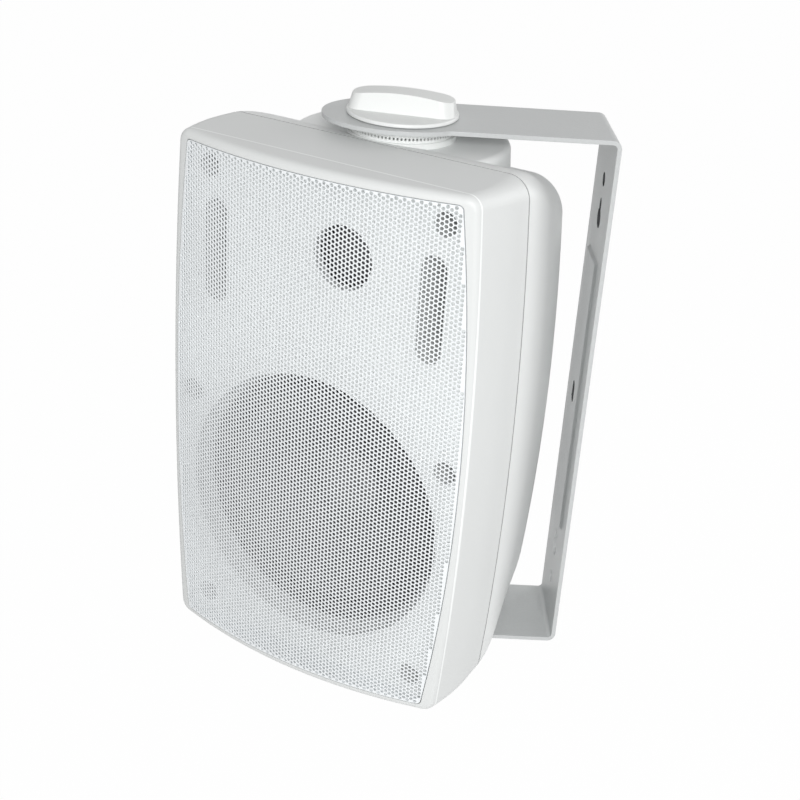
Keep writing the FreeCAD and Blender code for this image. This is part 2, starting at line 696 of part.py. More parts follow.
def crossover():
    """Board on two standoffs, with its three parts on the front side."""
    rear = BACK_Y - WALL - STANDOFF
    front = rear - BOARD_T
    low = BOARD_Z - BOARD_H / 2
    pieces = {}
    board = block((-BOARD_W / 2, BOARD_W / 2), (front, rear), (low, low + BOARD_H))
    pieces["filter_board"] = board.cut([rod(TWEETER_SCREW_R + SLIP, front, rear, x, z)
                                        for x, z in board_screw_places()])
    x = BOARD_W / 4
    pieces["filter_coil"] = turned(outline(
        (INDUCTOR_BORE, front - INDUCTOR_H), (INDUCTOR_R, front - INDUCTOR_H), (INDUCTOR_R, front),
        (INDUCTOR_BORE, front)), -x, BOARD_Z - BOARD_EDGE)
    can = Vector(0, front - CAPACITOR_R, BOARD_Z + CAPACITOR_UP)
    pieces["filter_capacitor"] = Part.makeCylinder(CAPACITOR_R, CAPACITOR_L, can, Vector(1, 0, 0))
    pieces["filter_resistor"] = block((x / 4, x / 4 + RESISTOR_L), (front - RESISTOR_H, front),
                                      (BOARD_Z - BOARD_EDGE, BOARD_Z - BOARD_EDGE + RESISTOR_H))
    grip = BOARD_T + STANDOFF - 2 * APART
    pieces["board_screws"] = [
        screw(TWEETER_SCREW_R, TWEETER_SCREW_HEAD, SMALL_HEAD_T, grip, front, sx, sz)
        for sx, sz in board_screw_places()]
    return pieces


def terminals():
    """Recessed cup with two sprung levers and their contacts."""
    floor = BACK_Y - CUP_DEPTH + CUP_WALL
    pivot_z = CUP_Z + LEVER_L / 2 - LEVER_END
    lever_y = BACK_Y - LEVER_IN - LEVER_T / 2
    half_w = CUP_W / 2
    half_h = CUP_H / 2
    tub = block((-half_w, half_w), (BACK_Y - CUP_DEPTH, BACK_Y), (CUP_Z - half_h, CUP_Z + half_h))
    plate = block((-half_w - CUP_RIM, half_w + CUP_RIM), (BACK_Y, BACK_Y + CUP_RIM_T),
                  (CUP_Z - half_h - CUP_RIM, CUP_Z + half_h + CUP_RIM))
    plate = plate.makeFillet(CUP_RIM / 2, edges_along(plate, Vector(0, 1, 0)))
    well = block((-half_w + CUP_WALL, half_w - CUP_WALL), (floor, 2 * BACK_Y),
                 (CUP_Z - half_h + CUP_WALL, CUP_Z + half_h - CUP_WALL))
    cup = tub.fuse(plate).cut(well)
    cheeks = []
    holes = [rod(TWEETER_SCREW_R + SLIP, 0, 2 * BACK_Y, x, z) for x, z in cup_screw_places()]
    pieces = {}
    contacts = []
    for name, side in (("lever_red", -1), ("lever_black", 1)):
        x = side * LEVER_X
        reach = LEVER_W / 2 + APART
        for flank in (-1, 1):
            inner = x + flank * reach
            ends = sorted((inner, inner + flank * CHEEK_T))
            cheeks.append(block(ends, (floor, lever_y + CHEEK_W / 2),
                                (pivot_z - CHEEK_W / 2, pivot_z + CHEEK_W / 2)))
        span = reach + PIN_L + RUN
        holes.append(Part.makeCylinder(PIN_R + RUN, 2 * span, Vector(x - span, lever_y, pivot_z),
                                       Vector(1, 0, 0)))
        lever = block((x - LEVER_W / 2, x + LEVER_W / 2), (lever_y - LEVER_T / 2, lever_y + LEVER_T / 2),
                      (pivot_z + LEVER_END - LEVER_L, pivot_z + LEVER_END))
        lever = lever.makeFillet(LEVER_T / 3, edges_along(lever, Vector(1, 0, 0)))
        pin = Part.makeCylinder(PIN_R, 2 * (reach + PIN_L), Vector(x - reach - PIN_L, lever_y, pivot_z),
                                Vector(1, 0, 0))
        pieces[name] = lever.fuse(pin).removeSplitter()
        tip = pivot_z + LEVER_END - LEVER_L
        contacts.append(block((x - CONTACT_W / 2, x + CONTACT_W / 2), (floor, floor + CONTACT_T),
                              (tip, tip + CONTACT_L)))
    pieces["terminal_cup"] = cup.multiFuse(cheeks).cut(holes).removeSplitter()
    pieces["terminal_contacts"] = contacts
    face = BACK_Y + CUP_RIM_T
    pieces["terminal_screws"] = [
        screw(TWEETER_SCREW_R, TWEETER_SCREW_HEAD, SMALL_HEAD_T, CUP_RIM_T + WALL, face, x, z, True)
        for x, z in cup_screw_places()]
    return pieces


def toothed_band(inner, outer, base):
    """Ring on z = 0 with a crown of V teeth above its base."""
    step = math.pi / TEETH
    level = (base, base + TOOTH_H)

    def at(radius, k, z):
        return Vector(radius * math.cos(k * step), radius * math.sin(k * step), z)

    def face(*points):
        return Part.Face(Part.makePolygon(list(points) + [points[0]]))

    faces = []
    for k in range(2 * TEETH):
        low = level[k % 2]
        high = level[(k + 1) % 2]
        for radius in (inner, outer):
            faces.append(face(at(radius, k, 0), at(radius, k + 1, 0), at(radius, k + 1, high),
                              at(radius, k, low)))
        faces.append(face(at(inner, k, low), at(outer, k, low), at(outer, k + 1, high)))
        faces.append(face(at(inner, k, low), at(outer, k + 1, high), at(inner, k + 1, high)))
    loops = [Part.makePolygon([at(radius, k, 0) for k in range(2 * TEETH + 1)])
             for radius in (outer, inner)]
    faces.append(Part.Face(Part.Face(loops[0]).cut(Part.Face(loops[1])).Faces[0]))
    solid = Part.makeSolid(Part.makeShell(faces))
    if solid.Volume < 0:
        solid.reverse()
    return solid


def boss_ring():
    """Toothed ring on a turret, with the hub that the arm ring turns on."""
    inner = RING_R - TOOTH_BAND
    ring = toothed_band(inner, RING_R, BOSS_RING_T)
    plain = pillar(inner + TOOTH_BAND / 4, 0, BOSS_RING_T - RING_STEP)
    ledge = pillar(RING_R + BOSS_LEDGE_W, 0, BOSS_LEDGE_T)
    hub = pillar(HUB_R, 0, ARM_Z + STRIP_T - TURRET_Z - RING_STEP)
    ring = ring.fuse([plain, ledge, hub]).cut(pillar(STUD_R + SLIP, -RING_R, 2 * RING_R)).removeSplitter()
    ring.translate(Vector(0, PIVOT_Y, TURRET_Z))
    return ring


def arm_ring():
    """Toothed ring under an arm, with a collar through it, on the arm's own axis."""
    inner = RING_R - TOOTH_BAND
    ring = toothed_band(inner, RING_R, ARM_RING_T)
    plain = pillar(inner + TOOTH_BAND / 4, 0, ARM_RING_T - RING_STEP)
    ring = ring.fuse(plain)
    ring.rotate(Vector(), Vector(1, 0, 0), 180)
    ring = ring.fuse(pillar(COLLAR_R, -RING_STEP, STRIP_T))
    ring = ring.cut(pillar(HUB_R + RUN, -RING_R, RING_R)).removeSplitter()
    ring.translate(Vector(0, -REACH, ARM_Z))
    return ring


def knob():
    """Round base with a tapered, crowned bar grip."""
    base = pillar(KNOB_R, 0, KNOB_BASE)
    base = base.makeFillet(KNOB_BASE / 3, [base.Edges[0]])
    foot = rectangle(GRIP_L, GRIP_W, KNOB_BASE / 2)
    top = rectangle(GRIP_L, GRIP_TOP_W, KNOB_BASE + GRIP_H)
    bar = Part.makeLoft([foot, top], True, True)
    bar = bar.makeFillet(GRIP_TOP_W / 4, [e for e in bar.Edges if is_top_edge(e, KNOB_BASE + GRIP_H)])
    crown = Part.makeCylinder(GRIP_CROWN, 2 * KNOB_R, Vector(0, -KNOB_R, KNOB_BASE + GRIP_H - GRIP_CROWN),
                              Vector(0, 1, 0))
    bar = bar.common(crown).common(pillar(GRIP_L / 2, 0, 2 * GRIP_H))
    solid = base.fuse(bar).cut(pillar(STUD_R, -KNOB_BASE, KNOB_BORE_L)).removeSplitter()
    solid.rotate(Vector(), Vector(0, 0, 1), 90 - SWING + GRIP_TURN)
    solid.translate(Vector(0, PIVOT_Y, KNOB_Z))
    return solid


def rectangle(length, width, z):
    """Rectangle about the Z axis at one height."""
    x = length / 2
    y = width / 2
    return Part.makePolygon([Vector(-x, -y, z), Vector(x, -y, z), Vector(x, y, z), Vector(-x, y, z),
                             Vector(-x, -y, z)])


def is_top_edge(edge, z):
    """Whether an edge is a long top edge of the grip."""
    return all(abs(v.Z - z) < NEAR for v in edge.Vertexes) and edge.Length > GRIP_L / 2


def clamp_pieces():
    """Insert, ring, stud and knob above, and their copies below."""
    top = TURRET_Z - INSERT_SUNK
    bore = pillar(STUD_R + RUN, 0, 2 * ARM_Z, 0, PIVOT_Y)
    upper = {
        "boss_ring": boss_ring(),
        "insert": pillar(INSERT_R, top - INSERT_L, top, 0, PIVOT_Y).cut(bore),
        "stud": pillar(STUD_R, TURRET_Z - STUD_IN + APART, KNOB_Z + KNOB_BORE_L, 0, PIVOT_Y),
        "knob": knob(),
    }
    pieces = {f"top_{name}": shape for name, shape in upper.items()}
    pieces.update({f"bottom_{name}": mirrored(shape) for name, shape in upper.items()})
    return pieces


def panel(y):
    """Shallow pressed panel of the web, its foot at depth y."""
    half = ARM_Z - PANEL_IN
    sections = []
    for inset, depth in ((0, 0), (PANEL_RISE, PANEL_RISE)):
        wire = rectangle(PANEL_W - 2 * inset, 2 * half - 2 * inset, 0)
        wire.rotate(Vector(), Vector(1, 0, 0), 90)
        wire.translate(Vector(0, y - depth, 0))
        sections.append(wire)
    return Part.makeLoft(sections, True, True)


def paddle(z):
    """Oval end of an arm about the knob axis."""
    face = Part.Face(Part.Wire(Part.Ellipse(Vector(), PADDLE_L, PADDLE_W).toShape()))
    face.rotate(Vector(), Vector(0, 0, 1), 90)
    face.translate(Vector(0, -REACH, z))
    return face.extrude(Vector(0, 0, STRIP_T))


def bracket():
    """Bent steel strip: two arms with round ends, a web with wall holes and a pressed panel."""
    outer = ARM_Z + STRIP_T
    strip = block((-STRIP_W / 2, STRIP_W / 2), (-REACH, 0), (-outer, outer))
    strip = strip.makeFillet(BEND_R, [e for e in strip.Edges if is_bend(e, 0)])
    void = block((-STRIP_W, STRIP_W), (-2 * REACH, -STRIP_T), (-ARM_Z, ARM_Z))
    void = void.makeFillet(BEND_R - STRIP_T, [e for e in void.Edges if is_bend(e, -STRIP_T)])
    discs = [paddle(low) for low in (-outer, ARM_Z)]
    holes = [pillar(COLLAR_R + RUN, -2 * outer, 2 * outer, 0, -REACH)]
    for side in (-1, 1):
        holes.append(rod(WALL_HOLE_R, -REACH, REACH, 0, side * (ARM_Z - WALL_HOLE_IN)))
        key = side * (ARM_Z - KEY_IN)
        holes.append(rod(KEY_HEAD_R, -REACH / 2, REACH, 0, key))
        holes.append(slot_prism(2 * KEY_NECK_R, KEY_DROP + 2 * KEY_NECK_R, -REACH / 2, REACH, 0,
                                key + KEY_DROP / 2))
    holes.append(slot_prism(SLOT_W, SLOT_L, -REACH / 2, REACH))
    web = strip.cut(void).multiFuse(discs + [panel(-STRIP_T)])
    return web.cut(holes + [panel(0)]).removeSplitter()


def is_bend(edge, y):
    """Whether an edge runs across the strip at depth y."""
    across = abs(edge.tangentAt(edge.FirstParameter).x) > 0.9
    return across and all(abs(v.Y - y) < NEAR for v in edge.Vertexes)


def edges_along(shape, direction):
    """Straight edges of a shape that run along a direction."""
    return [e for e in shape.Edges if abs(e.tangentAt(e.FirstParameter).dot(direction)) > 0.9]


def swung(shape):
    """Speaker piece turned about the knob axis and set on the bracket."""
    placed = shape.copy()
    placed.translate(Vector(0, -PIVOT_Y, 0))
    placed.rotate(Vector(), Vector(0, 0, 1), SWING)
    placed.translate(Vector(0, -REACH, 0))
    return placed


def speaker_pieces():
    """Every piece that turns with the speaker, in the speaker's own frame."""
    pieces = {
        "grille": grille(),
        "front_housing": front_housing(),
        "rear_housing": rear_housing(),
        "housing_seal": seal(),
        "housing_screws": housing_screws(),
    }
    for group in (woofer(), tweeter(), crossover(), terminals(), clamp_pieces()):
        pieces.update(group)
    return pieces


def write(name, shape):
    """Save one node; a list of like pieces becomes one group of solids."""
    if isinstance(shape, list):
        shape = Part.makeCompound(shape)
    shape.exportStep(os.path.join("parts", f"{name}.step"))


def main():
    """Build every node and save it."""
    os.makedirs("parts", exist_ok=True)
    ring = arm_ring()
    fixed = {"bracket": bracket(), "top_arm_ring": ring, "bottom_arm_ring": mirrored(ring)}
    for name, shape in fixed.items():
        write(name, shape)
    for name, shape in speaker_pieces().items():
        placed = [swung(s) for s in shape] if isinstance(shape, list) else swung(shape)
        write(name, placed)


main()
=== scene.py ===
"""Looks of a white wall speaker on its swivel bracket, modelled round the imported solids.

The classes hold their sizes in millimetres, in the speaker's own frame: x to the right seen from the
front, y backwards from the foremost line of the grille, z up from the middle of the grille. A finished
piece is turned and moved into the frame of the solids, in metres.
"""
import logging
import math
from dataclasses import dataclass
from enum import Enum
from typing import ClassVar

import bpy
from mathutils import Matrix, Vector


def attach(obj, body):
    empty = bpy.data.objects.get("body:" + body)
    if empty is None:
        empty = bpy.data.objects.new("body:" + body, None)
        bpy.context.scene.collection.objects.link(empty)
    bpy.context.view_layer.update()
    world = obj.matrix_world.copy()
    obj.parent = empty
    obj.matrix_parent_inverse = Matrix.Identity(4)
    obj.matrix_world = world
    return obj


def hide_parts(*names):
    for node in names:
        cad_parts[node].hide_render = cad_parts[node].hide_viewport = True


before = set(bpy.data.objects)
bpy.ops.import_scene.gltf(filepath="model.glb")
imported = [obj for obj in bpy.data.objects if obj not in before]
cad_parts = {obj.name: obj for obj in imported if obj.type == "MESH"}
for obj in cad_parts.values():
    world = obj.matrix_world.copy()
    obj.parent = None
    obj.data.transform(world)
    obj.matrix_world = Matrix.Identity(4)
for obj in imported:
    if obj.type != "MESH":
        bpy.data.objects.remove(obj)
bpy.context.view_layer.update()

LOG = logging.getLogger("wall_speaker")
MM = 0.001
PIVOT_Y = 74.5
REACH = 92.5
SWING = math.radians(58.8)
TO_FRAME = (Matrix.Translation((0, -REACH * MM, 0)) @ Matrix.Rotation(SWING, 4, "Z")
            @ Matrix.Translation((0, -PIVOT_Y * MM, 0)))
BAFFLE_Y = 13.44
PARTING_Y = 47.4
# Least cosine between a direction and a face or edge that is taken to look along it.
FACING = 0.9

Number = "float | Wire"
Colour = "tuple[float, float, float] | Wire"


def heading(degrees: float) -> Vector:
    """Direction in the XY plane, counted from X towards Y."""
    return Vector((math.cos(math.radians(degrees)), math.sin(math.radians(degrees)), 0))


class Side(Enum):
    """Upper and lower copy of a clamp piece, with the sign of its height."""

    TOP = 1
    BOTTOM = -1


class Wire:
    """A shader socket that takes part in Python arithmetic."""

    def __init__(self, paint: "Paint", socket: bpy.types.NodeSocket) -> None:
        """Keep the socket and the material that it belongs to."""
        self.paint = paint
        self.socket = socket

    def __add__(self, other: Number) -> "Wire":
        """Sum of two values."""
        return self.paint.math("ADD", self, other)

    def __sub__(self, other: Number) -> "Wire":
        """Difference of two values."""
        return self.paint.math("SUBTRACT", self, other)

    def __rsub__(self, other: float) -> "Wire":
        """A number less this value."""
        return self.paint.math("SUBTRACT", other, self)

    def __mul__(self, other: Number) -> "Wire":
        """Product of two values."""
        return self.paint.math("MULTIPLY", self, other)

    __radd__ = __add__
    __rmul__ = __mul__


class Paint:
    """One material and the nodes that make it."""

    def __init__(self, name: str) -> None:
        """Start a material with one principled shader.

        Args:
            name: name of the material.
        """
        self.material = bpy.data.materials.new(name)
        self.material.use_nodes = True
        self.tree = self.material.node_tree
        self.shader = self.tree.nodes["Principled BSDF"]

    def feed(self, socket: bpy.types.NodeSocket, value: object) -> None:
        """Link a wire to a socket, or set its plain value."""
        if isinstance(value, Wire):
            self.tree.links.new(value.socket, socket)
        else:
            socket.default_value = value

    def node(self, kind: str, settings: dict, inputs: dict, output: int | str = 0) -> Wire:
        """Add one node.

        Args:
            kind: type of the node.
            settings: properties of the node, which are set first.
            inputs: values or wires by socket name or number.
            output: name or number of the output that is used.

        Returns:
            The output as a wire.
        """
        made = self.tree.nodes.new(kind)
        for key, value in settings.items():
            setattr(made, key, value)
        for key, value in inputs.items():
            self.feed(made.inputs[key], value)
        return Wire(self, made.outputs[output])

    def math(self, operation: str, first: Number, second: Number) -> Wire:
        """Math node on two values."""
        return self.node("ShaderNodeMath", {"operation": operation}, {0: first, 1: second})

    def place(self) -> Wire:
        """Point on the piece, in metres."""
        return self.node("ShaderNodeTexCoord", {}, {}, "Object")

    def noise(self, scale: float, detail: float = 2.0) -> Wire:
        """Noise from 0 to 1 with a number of lumps to the metre."""
        return self.node("ShaderNodeTexNoise", {}, {"Vector": self.place(), "Scale": scale, "Detail": detail})

    def wave(self, scale: float, axis: str, waver: float) -> Wire:
        """Ridges from 0 to 1 across an axis, with a number of them to the metre and some waver."""
        return self.node("ShaderNodeTexWave", {"bands_direction": axis},
                         {"Vector": self.place(), "Scale": scale, "Distortion": waver}, "Fac")

    def step(self, value: Wire, low: float, high: float) -> Wire:
        """Smooth step of a value from 0 at low to 1 at high."""
        return self.node("ShaderNodeMapRange", {"interpolation_type": "SMOOTHSTEP"},
                         {"Value": value, "From Min": low, "From Max": high})

    def blend(self, share: Wire, first: Colour, second: Colour) -> Wire:
        """Mix of two colours by a share.

        Args:
            share: 0 for the first colour, 1 for the second.
            first: a plain colour or a wire.
            second: the same.

        Returns:
            The mixed colour.
        """
        a, b = (colour if isinstance(colour, Wire) else (*colour, 1) for colour in (first, second))
        # A Mix node's colour inputs are its sockets 6 and 7, and its colour output is number 2.
        return self.node("ShaderNodeMix", {"data_type": "RGBA"}, {0: share, 6: a, 7: b}, 2)

    def bump(self, height: Wire, depth: float) -> Wire:
        """Surface normal roughened by a height of 0 to 1 over a depth in metres."""
        return self.node("ShaderNodeBump", {}, {"Strength": 1.0, "Distance": depth, "Height": height})


@dataclass(frozen=True)
class Finish:
    """A surface: its colour, gloss, and the fine relief that its making leaves."""

    cloud_lumps: ClassVar[float] = 14.0
    cloud_share: ClassVar[float] = 0.6
    tone_span: ClassVar[tuple[float, float]] = (0.3, 0.7)
    gloss_spread: ClassVar[float] = 0.08

    name: str
    colour: tuple[float, float, float]
    rough: float
    lumps: float
    depth: float
    drift: float = 0.04
    metal: float = 0.0

    def relief(self, paint: Paint) -> Wire:
        """Height of the surface, from 0 to 1."""
        return paint.noise(self.lumps, detail=3.0)

    def tones(self, paint: Paint) -> Wire:
        """Colour that drifts a little over the piece and with the relief."""
        low = tuple(c * (1 - self.drift) for c in self.colour)
        high = tuple(min(1.0, c * (1 + self.drift)) for c in self.colour)
        share = self.cloud_share * paint.noise(self.cloud_lumps) + (1 - self.cloud_share) * self.relief(paint)
        return paint.blend(paint.step(share, *self.tone_span), low, high)

    def material(self) -> bpy.types.Material:
        """Build the material.

        Returns:
            The material, named for the finish.
        """
        paint = Paint(self.name)
        inputs = paint.shader.inputs
        relief = self.relief(paint)
        inputs["Metallic"].default_value = self.metal
        paint.feed(inputs["Base Color"], self.tones(paint))
        paint.feed(inputs["Roughness"], self.rough + self.gloss_spread * (relief - 0.5))
        paint.feed(inputs["Normal"], paint.bump(relief, self.depth))
        return paint.material


@dataclass(frozen=True)
class Moulded(Finish):
    """Plastic from a spark-eroded mould: two sizes of fine grain."""

    coarse_share: ClassVar[float] = 0.65
    finer: ClassVar[float] = 2.3

    def relief(self, paint: Paint) -> Wire:
        """Fine grain with a finer one on it."""
        coarse = self.coarse_share * paint.noise(self.lumps, detail=1.0)
        return coarse + (1 - self.coarse_share) * paint.noise(self.finer * self.lumps, detail=1.0)


@dataclass(frozen=True)
class Banded(Moulded):
    """Moulded shell with its colour scaled in one thin layer of its depth: above 1 as painted light, below 1
    as painted shade.
    """

    fade: ClassVar[float] = 1.2

    band_y: float = 0.0
    half_w: float = 0.38
    # Colour factor in the layer: above 1 paints light, below 1 paints shade.
    painted_tone: float = 1.0

    def tones(self, paint: Paint) -> Wire:
        """Colour of the shell, with the painted light or painted shade in the layer."""
        aim = TO_FRAME.to_3x3() @ Vector((0, 1, 0))
        along = paint.node("ShaderNodeVectorMath", {"operation": "DOT_PRODUCT"},
                           {0: paint.place(), 1: aim}, "Value")
        level = aim.dot(TO_FRAME @ Vector((0, self.band_y * MM, 0)))
        away = paint.math("ABSOLUTE", along - level, 0.0)
        share = paint.step(away, self.half_w * MM, self.fade * self.half_w * MM)
        return paint.blend(share, tuple(c * self.painted_tone for c in self.colour), super().tones(paint))


@dataclass(frozen=True)
class PowderCoat(Finish):
    """Baked powder paint: soft orange peel."""

    peel: ClassVar[tuple[float, float]] = (0.25, 0.75)

    def relief(self, paint: Paint) -> Wire:
        """Smooth lumps that run together."""
        return paint.step(paint.noise(self.lumps, detail=0.0), *self.peel)


@dataclass(frozen=True)
class Woven(Finish):
    """Cloth: two crossing sets of threads."""

    waver: ClassVar[float] = 0.4

    def relief(self, paint: Paint) -> Wire:
        """Threads up and down, and across."""
        across = paint.wave(self.lumps, "DIAGONAL", self.waver)
        return 0.5 * paint.wave(self.lumps, "Z", self.waver) + 0.5 * across


@dataclass(frozen=True)
class Wound(Finish):
    """Enamelled wire laid turn by turn."""

    waver: ClassVar[float] = 0.2

    def relief(self, paint: Paint) -> Wire:
        """One ridge for each turn of wire."""
        return paint.wave(self.lumps, "DIAGONAL", self.waver)


@dataclass(frozen=True)
class Plated(Finish):
    """Plated or bare metal: cloudy gloss with fine scratches."""

    cloud: ClassVar[float] = 0.7
    scratch: ClassVar[float] = 6.0

    def relief(self, paint: Paint) -> Wire:
        """Cloudy patches with short scratches on them."""
        clouds = self.cloud * paint.noise(self.lumps, detail=4.0)
        return clouds + (1 - self.cloud) * paint.noise(self.scratch * self.lumps, detail=1.0)


# The baffle's front face is lightened by 1.27: painted light, standing in for the lamp light that falls on it
# through the grille's holes.
FRONT_SHELL = Banded("front_shell", (0.735, 0.75, 0.745), 0.46, 1500, 0.00003, 0.012,
                     band_y=BAFFLE_Y, painted_tone=1.27)
# The rear shell is painted lighter than the front shell of the same white plastic, standing in for light on
# its sides and turret; a thin painted shade darkens the parting joint.
REAR_SHELL = Banded("rear_shell", (0.83, 0.845, 0.84), 0.46, 1500, 0.00003, 0.012,
                    band_y=PARTING_Y, painted_tone=0.35)
WHITE_CLAMP = Moulded("white_clamp", (0.8, 0.815, 0.805), 0.42, 1900, 0.000015, 0.012)
WHITE_STEEL = PowderCoat("white_steel", (0.55, 0.565, 0.565), 0.38, 900, 0.000025, 0.012)
WHITE_GRILLE = PowderCoat("white_grille", (0.86, 0.885, 0.9), 0.42, 1400, 0.000012, 0.012)
# Near-black metal on the walls of the bracket's upper holes: painted shade that stands in for the shadow
# inside them.
HOLE_SHADE_PAINT = Plated("painted_hole_shade", (0.05, 0.052, 0.055), 0.6, 700, 0.00004, 0.3, 0.3)
SOFT_RUBBER = Moulded("soft_rubber", (0.035, 0.035, 0.037), 0.6, 1200, 0.00003)
ROLL_RUBBER = Moulded("roll_rubber", (0.05, 0.05, 0.053), 0.45, 1500, 0.00002)
CONE_COAT = Moulded("cone_coat", (0.1, 0.1, 0.105), 0.5, 700, 0.00008, 0.1)
CAP_COAT = Moulded("cap_coat", (0.19, 0.19, 0.195), 0.35, 900, 0.00003, 0.06)
BLACK_STEEL = PowderCoat("black_steel", (0.03, 0.03, 0.032), 0.4, 800, 0.00003)
FERRITE = Plated("ferrite", (0.06, 0.06, 0.064), 0.65, 500, 0.00005, 0.12)
ZINC = Plated("zinc", (0.56, 0.56, 0.57), 0.32, 260, 0.00001, 0.1, 1.0)
BRASS = Plated("brass", (0.72, 0.55, 0.26), 0.3, 300, 0.00001, 0.08, 1.0)
COPPER_WIRE = Wound("copper_wire", (0.55, 0.22, 0.08), 0.35, 330, 0.0002, 0.15, 0.8)
SPIDER_CLOTH = Woven("spider_cloth", (0.5, 0.34, 0.13), 0.8, 260, 0.0002, 0.2)
DOME_SILK = Woven("dome_silk", (0.05, 0.05, 0.054), 0.42, 420, 0.00006, 0.2)
BLACK_MOULD = Moulded("black_mould", (0.022, 0.022, 0.024), 0.48, 1300, 0.00003, 0.1)
RED_MOULD = Moulded("red_mould", (0.5, 0.014, 0.012), 0.4, 1300, 0.00002, 0.06)
LACQUER = Moulded("lacquer", (0.03, 0.17, 0.07), 0.3, 220, 0.00003, 0.2)
YELLOW_FILM = PowderCoat("yellow_film", (0.56, 0.4, 0.05), 0.25, 300, 0.00004, 0.08)
CEMENT = Moulded("cement", (0.72, 0.71, 0.66), 0.8, 900, 0.00015, 0.08)

NODE_FINISHES: dict[Finish, list[str]] = {
    FRONT_SHELL: ["front_housing"],
    REAR_SHELL: ["rear_housing"],
    WHITE_CLAMP: ["top_knob", "bottom_knob", "top_arm_ring", "bottom_arm_ring", "top_boss_ring",
                  "bottom_boss_ring"],
    WHITE_STEEL: ["bracket"],
    WHITE_GRILLE: ["grille"],
    SOFT_RUBBER: ["housing_seal", "woofer_gasket"],
    ROLL_RUBBER: ["woofer_surround"],
    CONE_COAT: ["woofer_cone"],
    CAP_COAT: ["woofer_cap"],
    BLACK_STEEL: ["woofer_frame"],
    FERRITE: ["woofer_magnet", "tweeter_magnet"],
    ZINC: ["housing_screws", "woofer_screws", "tweeter_screws", "board_screws", "terminal_screws", "top_stud",
           "bottom_stud", "woofer_plate", "woofer_yoke", "tweeter_plate", "tweeter_yoke"],
    BRASS: ["top_insert", "bottom_insert", "terminal_contacts"],
    COPPER_WIRE: ["woofer_coil", "tweeter_coil", "filter_coil"],
    SPIDER_CLOTH: ["woofer_spider"],
    DOME_SILK: ["tweeter_dome"],
    BLACK_MOULD: ["tweeter_frame", "terminal_cup", "lever_black"],
    RED_MOULD: ["lever_red"],
    LACQUER: ["filter_board"],
    YELLOW_FILM: ["filter_capacitor"],
    CEMENT: ["filter_resistor"],
}


class Wardrobe:
    """The finishes, each made once, and how a piece or a CAD node gets one."""

    def __init__(self) -> None:
        """Start with no material made."""
        self.made: dict[str, bpy.types.Material] = {}

    def get(self, finish: Finish) -> bpy.types.Material:
        """Material of a finish."""
        if finish.name not in self.made:
            self.made[finish.name] = finish.material()
        return self.made[finish.name]

    def dress(self, piece: bpy.types.Object, finish: Finish) -> None:
        """Give a piece one finish all over."""
        piece.data.materials.clear()
        piece.data.materials.append(self.get(finish))

    def dress_nodes(self) -> None:
        """Give each CAD node its finish."""
        for finish, names in NODE_FINISHES.items():
            for name in names:
                self.dress(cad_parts[name], finish)


